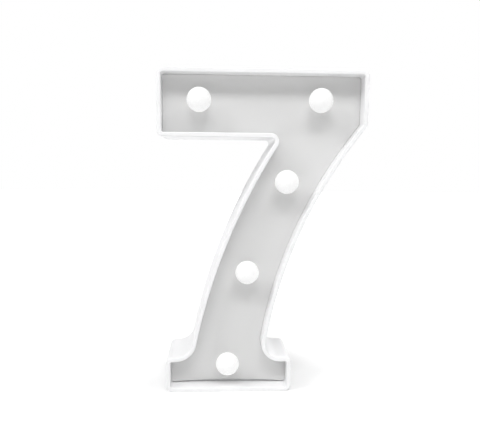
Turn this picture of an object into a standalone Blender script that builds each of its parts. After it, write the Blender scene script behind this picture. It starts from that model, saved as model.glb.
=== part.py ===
# Light up marquee numeral: a free-standing figure 7 in white plastic, lit by five small globes.
#
# The numeral stands on its foot. +Z is up, and the open front faces -Y. Depths are measured from
# the plane of the front rim towards the back cover, and every length is in metres.

import math

import bmesh
import bpy
from mathutils import Euler, Matrix, Vector

# Outline of the figure, seen from the front
overall_height = 0.220
bar_width = 0.1394
bar_height = 0.0440
foot_width = 0.0876
foot_height = 0.0247
foot_step = 0.0044
leg_left_at_bar = 0.0797
leg_left_at_foot = 0.0208
leg_right_at_foot = 0.0723
right_side_height = 0.0357
leg_left_bow = 0.0080
leg_right_bow = 0.0120
corner_radius = 0.0044
turn_radius = 0.0040
notch_radius = 0.0025
bracket_left_radius = 0.0120
bracket_right_radius = 0.0100
least_radius = 0.0008
smooth_angle = math.radians(40)

# Depths and walls of the housing
body_depth = 0.0450
wall = 0.0029
rim_round = 0.0006
recess = 0.0110
ledge_width = 0.0016
ledge_thickness = 0.0016
gap = 0.0003
weld_distance = 0.00001

# Steps in the round stretches
arc_steps = 12
large_fillet_steps = 7
small_fillet_steps = 3
rim_steps = 2

# Globes and the light-emitting diodes in their necks
globe_radius = 0.0080
globe_wall = 0.0010
neck_radius = 0.0045
globe_steps = 20
globe_rings = 8
globe_inner_rings = 4
diode_radius = 0.0025
diode_flange_radius = 0.0029
diode_flange_thickness = 0.0010
diode_height = 0.0086
diode_rings = 3
diode_steps = 12
leg_thickness = 0.0005
leg_pitch = 0.00254
leg_length = 0.0050
leg_root = 0.0004

# Places of the globes, as shares of the bar, of the leg or of the foot that they stand in:
# across it from the left, then up from its lower edge
bar_globe_shares = ((0.198, 0.548), (0.776, 0.557))
leg_globe_shares = ((0.467, 0.808), (0.490, 0.398))
foot_globe_shares = ((0.490, 0.785),)

# Face panel and its sleeves, and the collar that closes each sleeve
panel_thickness = 0.0020
sleeve_wall = 0.0012
sleeve_length = 0.0050
sleeve_steps = 16
holder_wall = 0.0010
holder_floor = 0.0015
holder_skirt_gap = 0.0010
holder_bore_radius = 0.0021

# Screw bosses of the shell and the cover screws
boss_radius = 0.0040
boss_embed = 0.0004
boss_steps = 14
screw_radius = 0.0013
screw_head_radius = 0.0023
screw_head_height = 0.0012
screw_length = 0.0080
screw_steps = 12
leg_boss_shares = (0.62, 0.36)

# Back cover
cover_thickness = 0.0024
lip_depth = 0.0030
lip_thickness = 0.0014
overrun = 0.0010

# Cells and their bay
cell_radius = 0.00725
cell_length = 0.0505
cell_round = 0.0006
nub_radius = 0.0027
nub_height = 0.0010
cell_spacing = 0.0006
cell_steps = 20
bay_wall = 0.0015
channel_steps = 12
contact_thickness = 0.0004
contact_height = 0.0095
contact_middle_gap = 0.0049
tab_width = 0.0030
tab_reach = 0.0022
spring_length = 0.0042
spring_wire = 0.0003
spring_foot_radius = 0.0040
spring_tip_radius = 0.0026
spring_turns = 3
spring_points = 10

# Battery door, its lugs and its snap tongue
door_thickness = 0.0016
rebate = 0.0008
heel_steps = 4
heel_room_steps = 16
lug_width = 0.0024
lug_thickness = 0.0012
lug_reach = 0.0018
lug_drop = 0.0007
lug_root = 0.0004
tongue_width = 0.0080
tongue_thickness = 0.0010
tongue_drop = 0.0036
tongue_bend_gap = 0.0010
tongue_nib = 0.00025
tongue_play = 0.0002
nib_height = 0.0008
bend_steps = 6
grip_count = 3
grip_margin = 0.0044
grip_pitch = 0.0022
grip_width = 0.0008
grip_depth = 0.0004
grip_length = 0.0120

# Slide switch, with its long side upright
switch_offset = 0.0100
switch_width = 0.0056
switch_height = 0.0122
switch_depth = 0.0040
switch_metal = 0.0004
switch_ear = 0.0040
switch_travel = 0.0030
knob_width = 0.0028
knob_height = 0.0030
knob_top = 0.0022
slider_thickness = 0.0010
slider_margin = 0.0012
well_depth = 0.0030
well_floor = 0.0012
well_margin = 0.0012
pin_width = 0.0008
pin_thickness = 0.0004
pin_length = 0.0040
pin_pitch = 0.0035
pin_count = 3
base_thickness = 0.0014
switch_screw_radius = 0.0008
switch_screw_head_radius = 0.0015
switch_screw_head_height = 0.0010
switch_post_radius = 0.0020

# Keyhole slots for hanging
keyhole_radius = 0.0042
keyhole_slot_width = 0.0046
keyhole_slot_length = 0.0070
keyhole_from_side = 0.0165
keyhole_steps = 16

# Marks sunk into the back: a bar for on, a ring for off, and an arrow to the door's tongue
mark_depth = 0.0003
mark_line = 0.0005
mark_height = 0.0024
mark_offset = 0.0028
mark_steps = 16
arrow_length = 0.0030
arrow_width = 0.0040
arrow_offset = 0.0030

# Leads and the series resistor
lead_radius = 0.0006
lead_sides_resolution = 2
lead_points_per_stretch = 3
lead_hold_shares = (0.2, 0.8)
resistor_radius = 0.00115
resistor_length = 0.0062
resistor_wire_radius = 0.0003
resistor_wire_length = 0.0050
resistor_offset = 0.0070
resistor_steps = 10

# Places worked out from the sizes above
left_side = -bar_width / 2
right_side = bar_width / 2
bar_bottom = overall_height - bar_height
foot_left = left_side + foot_step
foot_right = foot_left + foot_width
panel_back = recess + panel_thickness
globe_proud = 2 * globe_radius - recess
front_y = (globe_proud - body_depth) / 2
globe_depth = recess - globe_radius
neck_end = panel_back + sleeve_length - diode_flange_thickness - 2 * gap
holder_front = panel_back + sleeve_length + gap
holder_back = holder_front + holder_floor
diode_back = holder_front - gap
leg_end = diode_back + leg_length
lead_depth = leg_end + gap + lead_radius
cover_back = body_depth
cover_front = body_depth - cover_thickness

# Places of the battery bay
bay_length = 2 * (gap + contact_thickness) + cell_length + spring_length + 3 * gap
bay_width = 4 * cell_radius + cell_spacing + 2 * gap
bay_x = left_side + bar_width * (bar_globe_shares[0][0] + bar_globe_shares[1][0]) / 2
bay_z = bar_bottom + bar_height / 2
bay_left = bay_x - bay_length / 2
bay_right = bay_x + bay_length / 2
door_inner = cover_back - door_thickness
cell_depth = door_inner - gap - cell_radius
bay_floor = cell_depth - cell_radius - gap
bay_front = bay_floor - bay_wall
cell_pitch = 2 * cell_radius + cell_spacing
door_left = bay_left - rebate + gap
door_right = bay_right + rebate - gap
hinge_x = door_left + door_thickness
tongue_right = door_right + tongue_bend_gap + tongue_thickness
pocket_right = tongue_right + tongue_nib + tongue_play
pocket_front = door_inner - tongue_drop - tongue_thickness - 2 * gap

# Places of the switch
switch_x = pocket_right + bay_wall + switch_offset
switch_z = bay_z
switch_front_face = cover_back - well_depth - well_floor - gap
switch_pilot_end = cover_front + cover_thickness / 4
knob_rest = -switch_travel / 2


def collection(name):
    """A new collection under the scene's own."""
    made = bpy.data.collections.new(name)
    bpy.context.scene.collection.children.link(made)
    return made


for old in list(bpy.data.objects):
    bpy.data.objects.remove(old, do_unlink=True)
parts = collection("marquee_numeral_7")
cutters = collection("cutters_and_guides")

facing_front = Euler((math.pi / 2, 0, 0))
facing_back = Euler((-math.pi / 2, 0, 0))


def material(name, colour, roughness, metallic=0.0):
    """A Principled material of one colour."""
    made = bpy.data.materials.new(name)
    made.use_nodes = True
    shader = made.node_tree.nodes["Principled BSDF"]
    shader.inputs["Base Color"].default_value = (*colour, 1.0)
    shader.inputs["Roughness"].default_value = roughness
    shader.inputs["Metallic"].default_value = metallic
    made.diffuse_color = (*colour, 1.0)
    return made


shell_white = material("shell_white", (0.86, 0.86, 0.87), 0.35)
panel_white = material("panel_white", (0.80, 0.80, 0.81), 0.50)
globe_white = material("globe_white", (0.92, 0.92, 0.91), 0.30)
holder_white = material("holder_white", (0.82, 0.82, 0.80), 0.50)
diode_clear = material("diode_clear", (0.85, 0.83, 0.62), 0.15)
cover_white = material("cover_white", (0.84, 0.84, 0.85), 0.45)
door_white = material("door_white", (0.84, 0.84, 0.85), 0.45)
cell_jacket = material("cell_jacket", (0.20, 0.22, 0.25), 0.35)
contact_metal = material("contact_metal", (0.75, 0.74, 0.70), 0.30, 1.0)
switch_black = material("switch_black", (0.03, 0.03, 0.03), 0.45)
switch_steel = material("switch_steel", (0.70, 0.70, 0.70), 0.30, 1.0)
screw_steel = material("screw_steel", (0.55, 0.55, 0.56), 0.35, 1.0)
resistor_tan = material("resistor_tan", (0.70, 0.56, 0.38), 0.50)
lead_red = material("lead_red", (0.55, 0.04, 0.03), 0.45)
lead_black = material("lead_black", (0.03, 0.03, 0.03), 0.45)


def at(x, depth, z):
    """A point by its place across, its depth behind the front rim and its height."""
    return Vector((x, front_y + depth, z))


def put(name, mesh, finish, smooth=False):
    """A mesh as an object of the numeral, or among the cutters where it has no finish."""
    made = bpy.data.objects.new(name, mesh)
    if finish is None:
        cutters.objects.link(made)
        made.hide_render = True
        made.display_type = "WIRE"
    else:
        parts.objects.link(made)
        made.data.materials.clear()
        made.data.materials.append(finish)
    if smooth:
        mesh.shade_smooth()
        mesh.set_sharp_from_angle(angle=smooth_angle)
    return made


def evaluated_mesh(source):
    """The mesh of an object with its modifiers, its doubled points welded."""
    bpy.context.view_layer.update()
    graph = bpy.context.evaluated_depsgraph_get()
    mesh = bpy.data.meshes.new_from_object(source.evaluated_get(graph))
    work = bmesh.new()
    work.from_mesh(mesh)
    bmesh.ops.remove_doubles(work, verts=work.verts, dist=weld_distance)
    bmesh.ops.recalc_face_normals(work, faces=work.faces)
    work.to_mesh(mesh)
    work.free()
    return mesh


def add_spline(curve, points):
    """A closed straight-sided spline through flat points."""
    spline = curve.splines.new("POLY")
    spline.points.add(len(points) - 1)
    for place, point in zip(spline.points, points):
        place.co = (point[0], point[1], 0, 1)
    spline.use_cyclic_u = True


def slab(name, outlines, front, back, finish=None):
    """A flat outline with its holes, as wide across and high as drawn, between two depths."""
    curve = bpy.data.curves.new(name, "CURVE")
    curve.dimensions = "2D"
    curve.fill_mode = "BOTH"
    curve.extrude = (back - front) / 2
    for points in outlines:
        add_spline(curve, points)
    guide = bpy.data.objects.new(name + "_outline", curve)
    cutters.objects.link(guide)
    guide.rotation_euler = facing_front
    guide.location = at(0, (front + back) / 2, 0)
    made = put(name, evaluated_mesh(guide), finish)
    made.matrix_world = guide.matrix_world.copy()
    bpy.data.objects.remove(guide)
    return made


def side_slab(name, points, low, high, turn, finish=None):
    """A flat outline extruded along X or Z; its points are (place, depth) pairs."""
    curve = bpy.data.curves.new(name, "CURVE")
    curve.dimensions = "2D"
    curve.fill_mode = "BOTH"
    curve.extrude = (high - low) / 2
    add_spline(curve, points)
    guide = bpy.data.objects.new(name + "_outline", curve)
    cutters.objects.link(guide)
    middle = (low + high) / 2
    if turn == "Z":
        guide.matrix_world = Matrix.Translation((0, front_y, middle))
    else:
        axes = Matrix(((0, 0, 1, middle), (0, 1, 0, front_y), (-1, 0, 0, 0), (0, 0, 0, 1)))
        guide.matrix_world = axes
    made = put(name, evaluated_mesh(guide), finish)
    made.matrix_world = guide.matrix_world.copy()
    bpy.data.objects.remove(guide)
    return made


def block(name, x, depth, z, finish=None):
    """A box between two places on each axis."""
    work = bmesh.new()
    bmesh.ops.create_cube(work, size=1)
    size = Vector((x[1] - x[0], depth[1] - depth[0], z[1] - z[0]))
    centre = at((x[0] + x[1]) / 2, (depth[0] + depth[1]) / 2, (z[0] + z[1]) / 2)
    bmesh.ops.scale(work, vec=size, verts=work.verts)
    mesh = bpy.data.meshes.new(name)
    work.to_mesh(mesh)
    work.free()
    made = put(name, mesh, finish)
    made.location = centre
    return made


def round_bar(name, x, z, front, back, radius, steps, finish=None, back_radius=None):
    """A cylinder or cone along the depth axis between two depths."""
    work = bmesh.new()
    bmesh.ops.create_cone(
        work, cap_ends=True, segments=steps, depth=back - front,
        radius1=radius if back_radius is None else back_radius, radius2=radius)
    mesh = bpy.data.meshes.new(name)
    work.to_mesh(mesh)
    work.free()
    made = put(name, mesh, finish)
    made.rotation_euler = facing_front
    made.location = at(x, (front + back) / 2, z)
    return made


def turned_mesh(name, profile, steps):
    """A profile of (radius, height) points turned about the local Z axis."""
    mesh = bpy.data.meshes.new(name)
    closed = profile[0][0] > 0 and profile[-1][0] > 0
    edges = [(i, i + 1) for i in range(len(profile) - 1)]
    if closed:
        edges.append((len(profile) - 1, 0))
    mesh.from_pydata([(r, 0, h) for r, h in profile], edges, [])
    guide = bpy.data.objects.new(name + "_profile", mesh)
    cutters.objects.link(guide)
    screw = guide.modifiers.new("turn", "SCREW")
    screw.axis = "Z"
    screw.steps = steps
    screw.render_steps = steps
    screw.use_merge_vertices = True
    screw.merge_threshold = weld_distance
    made = evaluated_mesh(guide)
    bpy.data.objects.remove(guide)
    made.name = name
    return made


def tube(name, points, radius, resolution, finish):
    """A round wire with closed ends through a list of points."""
    curve = bpy.data.curves.new(name, "CURVE")
    curve.dimensions = "3D"
    curve.bevel_depth = radius
    curve.bevel_resolution = resolution
    curve.use_fill_caps = True
    spline = curve.splines.new("POLY")
    spline.points.add(len(points) - 1)
    for place, point in zip(spline.points, points):
        place.co = (*point, 1)
    made = bpy.data.objects.new(name, curve)
    parts.objects.link(made)
    curve.materials.append(finish)
    return made


def boolean(piece, tool, operation):
    """A Boolean on a piece, by a tool among the cutters."""
    step = piece.modifiers.new(tool.name, "BOOLEAN")
    step.operation = operation
    step.object = tool
    step.solver = "EXACT"


def join(piece, tool):
    """Make the tool's solid part of a piece."""
    boolean(piece, tool, "UNION")


def cut(piece, tool):
    """Take the tool's solid out of a piece."""
    boolean(piece, tool, "DIFFERENCE")


# The outline is a closed chain of straight and bowed tracks with a fillet between each two.


def left_of(way):
    """The direction a quarter turn to the left of a direction of travel."""
    return Vector((-way.y, way.x))


def track(start, end, bow=0.0):
    """A straight or bowed track; a bow above zero bulges to the right of travel."""
    chord = end - start
    made = {"start": start, "end": end, "way": chord.normalized(), "centre": None}
    if bow:
        radius = (chord.length ** 2 / 4 + bow ** 2) / (2 * abs(bow))
        turn = math.copysign(1, bow)
        made["radius"] = radius
        made["turn"] = turn
        made["centre"] = (start + end) / 2 + left_of(made["way"]) * turn * (radius - abs(bow))
    return made


def heading(line, point):
    """The direction of travel on a track at one of its points."""
    if line["centre"] is None:
        return line["way"]
    return left_of((point - line["centre"]).normalized()) * line["turn"]


def distance_to_ends(line, point):
    """How far a point lies from the nearer end of a track."""
    return min((point - line["start"]).length, (point - line["end"]).length)


def meeting(a, b, shift):
    """Where two tracks meet when both are moved to their left by a shift."""
    if a["centre"] is not None:
        a, b = b, a
    start = a["start"] + left_of(a["way"]) * shift
    if b["centre"] is None:
        other = b["start"] + left_of(b["way"]) * shift
        across = a["way"].x * b["way"].y - a["way"].y * b["way"].x
        step = other - start
        return start + a["way"] * ((step.x * b["way"].y - step.y * b["way"].x) / across)
    radius = b["radius"] - b["turn"] * shift
    reach = start - b["centre"]
    middle = -reach.dot(a["way"])
    half = math.sqrt(middle ** 2 - reach.length_squared + radius ** 2)
    near = min((b["start"], b["end"]), key=lambda p: distance_to_ends(a, p))
    places = (start + a["way"] * (middle - half), start + a["way"] * (middle + half))
    return min(places, key=lambda p: (p - near).length)


def foot_on(line, point, inset):
    """The nearest point to a fillet's centre on a track moved in by the inset."""
    if line["centre"] is None:
        start = line["start"] + left_of(line["way"]) * inset
        return start + line["way"] * (point - start).dot(line["way"])
    out = (point - line["centre"]).normalized()
    return line["centre"] + out * (line["radius"] - line["turn"] * inset)


def round_points(centre, first, last, turn, steps):
    """Points on an arc about a centre, both ends included, in the sense of the turn."""
    begin = math.atan2(first.y - centre.y, first.x - centre.x)
    sweep = math.atan2(last.y - centre.y, last.x - centre.x) - begin
    sweep = sweep % (turn * math.tau)
    radius = (first - centre).length
    angles = [begin + sweep * i / steps for i in range(steps + 1)]
    return [centre + Vector((math.cos(a), math.sin(a))) * radius for a in angles]


def figure_tracks():
    """The figure's tracks, counter-clockwise from the front, and the fillet at each one's start."""
    top = overall_height
    leg_foot_left = Vector((left_side + leg_left_at_foot, foot_height))
    leg_foot_right = Vector((left_side + leg_right_at_foot, foot_height))
    leg_bar_left = Vector((left_side + leg_left_at_bar, bar_bottom))
    side_end = Vector((right_side, top - right_side_height))
    stops = [
        (Vector((foot_left, 0)), 0, corner_radius, small_fillet_steps),
        (Vector((foot_right, 0)), 0, corner_radius, small_fillet_steps),
        (Vector((foot_right, foot_height)), 0, corner_radius, small_fillet_steps),
        (leg_foot_right, -leg_right_bow, bracket_right_radius, large_fillet_steps),
        (side_end, 0, turn_radius, small_fillet_steps),
        (Vector((right_side, top)), 0, corner_radius, small_fillet_steps),
        (Vector((left_side, top)), 0, corner_radius, small_fillet_steps),
        (Vector((left_side, bar_bottom)), 0, corner_radius, small_fillet_steps),
        (leg_bar_left, leg_left_bow, notch_radius, small_fillet_steps + 1),
        (leg_foot_left, 0, bracket_left_radius, large_fillet_steps),
        (Vector((foot_left, foot_height)), 0, corner_radius, small_fillet_steps),
    ]
    tracks = []
    for i, (start, bow, _, _) in enumerate(stops):
        tracks.append(track(start, stops[(i + 1) % len(stops)][0], bow))
    return tracks, [(radius, steps) for _, _, radius, steps in stops]


def figure_outline(inset=0.0):
    """The figure's outline moved inwards by an inset, with as many points at every inset."""
    tracks, fillets = figure_tracks()
    corners = []
    for i, (radius, steps) in enumerate(fillets):
        before, after = tracks[i - 1], tracks[i]
        corner = after["start"]
        way_in, way_out = heading(before, corner), heading(after, corner)
        side = math.copysign(1, way_in.x * way_out.y - way_in.y * way_out.x)
        rounded = max(radius - side * inset, least_radius)
        centre = meeting(before, after, inset + side * rounded)
        first, last = foot_on(before, centre, inset), foot_on(after, centre, inset)
        corners.append(round_points(centre, first, last, side, steps))
    outline = []
    for i, corner in enumerate(corners):
        outline.extend(corner)
        line = tracks[i]
        if line["centre"] is not None:
            following = corners[(i + 1) % len(corners)][0]
            stretch = round_points(line["centre"], corner[-1], following, line["turn"], arc_steps)
            outline.extend(stretch[1:-1])
    return outline


def edge_point(line, share, inset):
    """A point on a bowed track by its share of the way along, moved in by an inset."""
    first = line["start"] - line["centre"]
    out = first.slerp(line["end"] - line["centre"], share).normalized()
    return line["centre"] + out * (line["radius"] - line["turn"] * inset)


def leg_span(height):
    """The left and right edges of the leg at a height."""
    tracks, _ = figure_tracks()
    edges = []
    for line in tracks:
        if line["centre"] is None:
            continue
        rise = height - line["centre"].y
        run = math.sqrt(line["radius"] ** 2 - rise ** 2)
        side = math.copysign(1, line["start"].x - line["centre"].x)
        edges.append(line["centre"].x + side * run)
    return min(edges), max(edges)


def globe_places():
    """The globes' centres, in the order in which the leads reach them."""
    places = []
    for across, up in bar_globe_shares:
        places.append(Vector((left_side + bar_width * across, bar_bottom + bar_height * up)))
    for across, up in leg_globe_shares:
        height = foot_height + (bar_bottom - foot_height) * up
        left, right = leg_span(height)
        places.append(Vector((left + (right - left) * across, height)))
    for across, up in foot_globe_shares:
        places.append(Vector((foot_left + foot_width * across, foot_height * up)))
    return places


def boss_places():
    """The middles of the screw bosses, each let into the wall beside it."""
    stand_off = wall + boss_radius - boss_embed
    tracks, _ = figure_tracks()
    bowed = [line for line in tracks if line["centre"] is not None]
    places = [
        Vector((left_side + stand_off, overall_height - stand_off)),
        Vector((right_side - stand_off, overall_height - stand_off)),
        Vector((left_side + stand_off, bar_bottom + stand_off)),
        Vector((foot_left + stand_off, stand_off)),
        Vector((foot_right - stand_off, stand_off)),
    ]
    for line, share in zip(bowed, leg_boss_shares):
        places.append(edge_point(line, share, stand_off))
    return places


def loop_along_figure(name, profile, finish=None, capped=False):
    """A section of (inset, depth) points carried along the outline: a ring, or a capped lid."""
    work = bmesh.new()
    rings = []
    for inset, depth in profile:
        rings.append([work.verts.new(at(p.x, depth, p.y)) for p in figure_outline(inset)])
    count = len(rings[0])
    pairs = list(zip(rings, rings[1:]))
    if capped:
        work.faces.new(rings[0])
        work.faces.new(rings[-1])
    else:
        pairs.append((rings[-1], rings[0]))
    for ring, following in pairs:
        for j in range(count):
            k = (j + 1) % count
            work.faces.new((ring[j], ring[k], following[k], following[j]))
    bmesh.ops.recalc_face_normals(work, faces=work.faces)
    mesh = bpy.data.meshes.new(name)
    work.to_mesh(mesh)
    work.free()
    return put(name, mesh, finish)


def rim_arc(inset, depth, from_turn, to_turn):
    """Section points of a rounded rim edge about a centre."""
    points = []
    for i in range(rim_steps + 1):
        a = math.radians(from_turn + (to_turn - from_turn) * i / rim_steps)
        points.append((inset + rim_round * math.cos(a), depth + rim_round * math.sin(a)))
    return points


def make_shell():
    """The wall loop with its rounded rim, the ledge for the panel and the screw bosses."""
    ledge_front = panel_back + gap
    ledge_back = ledge_front + ledge_thickness
    section = rim_arc(rim_round, rim_round, 180, 270)
    section += rim_arc(wall - rim_round, rim_round, 270, 360)
    section += [
        (wall, ledge_front), (wall + ledge_width, ledge_front),
        (wall + ledge_width, ledge_back), (wall, ledge_back),
        (wall, body_depth), (0, body_depth),
    ]
    shell = loop_along_figure("shell", section, shell_white)
    boss_end = cover_front - gap
    boss_front = ledge_front + ledge_thickness / 2
    for i, place in enumerate(boss_places()):
        join(shell, round_bar(f"boss_{i + 1}", place.x, place.y, boss_front, boss_end,
                              boss_radius, boss_steps))
    for i, place in enumerate(boss_places()):
        pilot = round_bar(
            f"boss_pilot_{i + 1}", place.x, place.y, boss_end - screw_length, boss_end + overrun,
            screw_radius + gap / 2, screw_steps)
        cut(shell, pilot)


def make_panel():
    """The recessed panel, with a sleeve behind it round each globe's neck."""
    outline = figure_outline(wall + gap)
    panel = slab("face_panel", [outline], recess, panel_back, panel_white)
    bore = neck_radius + gap
    for i, place in enumerate(globe_places()):
        sleeve = round_bar(
            f"sleeve_{i + 1}", place.x, place.y, panel_back - panel_thickness / 2,
            panel_back + sleeve_length, bore + sleeve_wall, sleeve_steps)
        join(panel, sleeve)
    for i, place in enumerate(globe_places()):
        hole = round_bar(
            f"sleeve_bore_{i + 1}", place.x, place.y, recess - overrun,
            panel_back + sleeve_length + overrun, bore, sleeve_steps)
        cut(panel, hole)


def ball_profile(radius, neck, rings):
    """Half a ball's section, from its crown down to where its neck begins."""
    turn = (math.pi - math.asin(neck / radius)) / rings
    points = [(0, radius)]
    for i in range(1, rings + 1):
        points.append((radius * math.sin(turn * i), radius * math.cos(turn * i)))
    return points


def globe_profile():
    """A hollow ball on a hollow neck: down the outside, then back up the inside."""
    neck_drop = neck_end - globe_depth
    inner_neck = diode_flange_radius + 2 * gap
    outside = ball_profile(globe_radius, neck_radius, globe_rings)
    inside = ball_profile(globe_radius - globe_wall, inner_neck, globe_inner_rings)
    return outside + [(neck_radius, -neck_drop), (inner_neck, -neck_drop)] + inside[::-1]


def diode_profile():
    """A domed cylinder on a flange, with its height measured from the flange's back."""
    points = [(0, diode_height)]
    shoulder = diode_height - diode_radius
    for i in range(1, diode_rings + 1):
        a = math.pi / 2 * i / diode_rings
        points.append((diode_radius * math.sin(a), shoulder + diode_radius * math.cos(a)))
    points += [
        (diode_radius, diode_flange_thickness), (diode_flange_radius, diode_flange_thickness),
        (diode_flange_radius, 0), (0, 0),
    ]
    return points


def lead_ways():
    """At each globe, the unit direction in which the pair of leads passes it."""
    places = globe_places()
    ways = []
    for i, place in enumerate(places):
        before = (place - places[i - 1]).normalized() if i else Vector((0, 0))
        after = (places[i + 1] - place).normalized() if i + 1 < len(places) else Vector((0, 0))
        ways.append((before + after).normalized())
    return ways


def make_globes():
    """The globes, the collars behind the panel and the diodes with their legs."""
    globe_mesh = turned_mesh("globe", globe_profile(), globe_steps)
    bore = neck_radius + gap + sleeve_wall + gap
    skirt = holder_back - (panel_back + holder_skirt_gap)
    holder_mesh = turned_mesh("bulb_holder", [
        (bore + holder_wall, skirt), (bore + holder_wall, 0), (holder_bore_radius, 0),
        (holder_bore_radius, holder_floor), (bore, holder_floor), (bore, skirt)], sleeve_steps)
    diode = put("diode", turned_mesh("diode", diode_profile(), diode_steps), None)
    for side in (-1, 1):
        work = bmesh.new()
        bmesh.ops.create_cube(work, size=1)
        bmesh.ops.scale(work, vec=(leg_thickness, leg_thickness, leg_length + leg_root), verts=work.verts)
        mesh = bpy.data.meshes.new("diode_leg")
        work.to_mesh(mesh)
        work.free()
        leg = put("diode_leg", mesh, None)
        leg.location = (side * leg_pitch / 2, 0, (leg_root - leg_length) / 2)
        join(diode, leg)
    diode_mesh = evaluated_mesh(diode)
    for i, (place, way) in enumerate(zip(globe_places(), lead_ways())):
        globe = put(f"globe_{i + 1}", globe_mesh, globe_white, smooth=True)
        globe.rotation_euler = facing_front
        globe.location = at(place.x, globe_depth, place.y)
        holder = put(f"bulb_holder_{i + 1}", holder_mesh, holder_white, smooth=True)
        holder.rotation_euler = facing_front
        holder.location = at(place.x, holder_back, place.y)
        led = put(f"led_{i + 1}", diode_mesh, diode_clear, smooth=True)
        across = left_of(way)
        roll = Matrix.Rotation(math.atan2(across.y, across.x), 4, "Z")
        stand = Matrix.Translation(at(place.x, diode_back, place.y)) @ facing_front.to_matrix().to_4x4()
        led.matrix_world = stand @ roll


def keyhole(centre):
    """A round hole for a screw head with a narrower slot above it."""
    half = keyhole_slot_width / 2
    rise = math.asin(half / keyhole_radius)
    top = centre + Vector((0, keyhole_slot_length))
    points = []
    for i in range(keyhole_steps + 1):
        a = math.pi / 2 + rise + (math.tau - 2 * rise) * i / keyhole_steps
        points.append((centre.x + keyhole_radius * math.cos(a),
                       centre.y + keyhole_radius * math.sin(a)))
    for i in range(keyhole_steps // 2 + 1):
        a = math.pi * i / (keyhole_steps // 2)
        points.append((top.x + half * math.cos(a), top.y + half * math.sin(a)))
    return points


def circle_points(centre, radius):
    """Points round a circle of a mark."""
    turns = [math.tau * i / mark_steps for i in range(mark_steps)]
    return [centre + Vector((math.cos(a), math.sin(a))) * radius for a in turns]


def keyhole_places():
    """The middles of the two keyholes' round holes, level with the bay's middle."""
    reach = bar_width / 2 - keyhole_from_side
    return [Vector((-reach, bay_z)), Vector((reach, bay_z))]


def well_spans():
    """The mouth of the switch well, across and up, and the slot for the knob."""
    half_x = knob_width / 2 + well_margin
    half_z = (knob_height + switch_travel) / 2 + well_margin
    mouth = ((switch_x - half_x, switch_x + half_x), (switch_z - half_z, switch_z + half_z))
    slot_x = knob_width / 2 + gap
    slot_z = (knob_height + switch_travel) / 2 + gap
    slot = ((switch_x - slot_x, switch_x + slot_x), (switch_z - slot_z, switch_z + slot_z))
    return mouth, slot


def bay_channel():
    """The bay's section: two round-bottomed troughs side by side, open at the back."""
    radius = cell_radius + gap
    half = bay_width / 2
    points = [(-bay_z - half, door_inner + overrun)]
    for side in (-1, 1):
        middle = side * cell_pitch / 2
        for i in range(channel_steps + 1):
            a = math.pi * (1 + i / channel_steps)
            point = (middle - bay_z + radius * math.cos(a), cell_depth + radius * math.sin(a))
            if math.dist(point, points[-1]) > gap / 2:
                points.append(point)
    points.append((-bay_z + half, door_inner + overrun))
    return points


def lug_spans():
    """Where the two lugs of the door lie, up the bay's left end."""
    outer = bay_width / 2 - gap
    return [(bay_z - outer, bay_z - outer + lug_width), (bay_z + outer - lug_width, bay_z + outer)]


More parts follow.
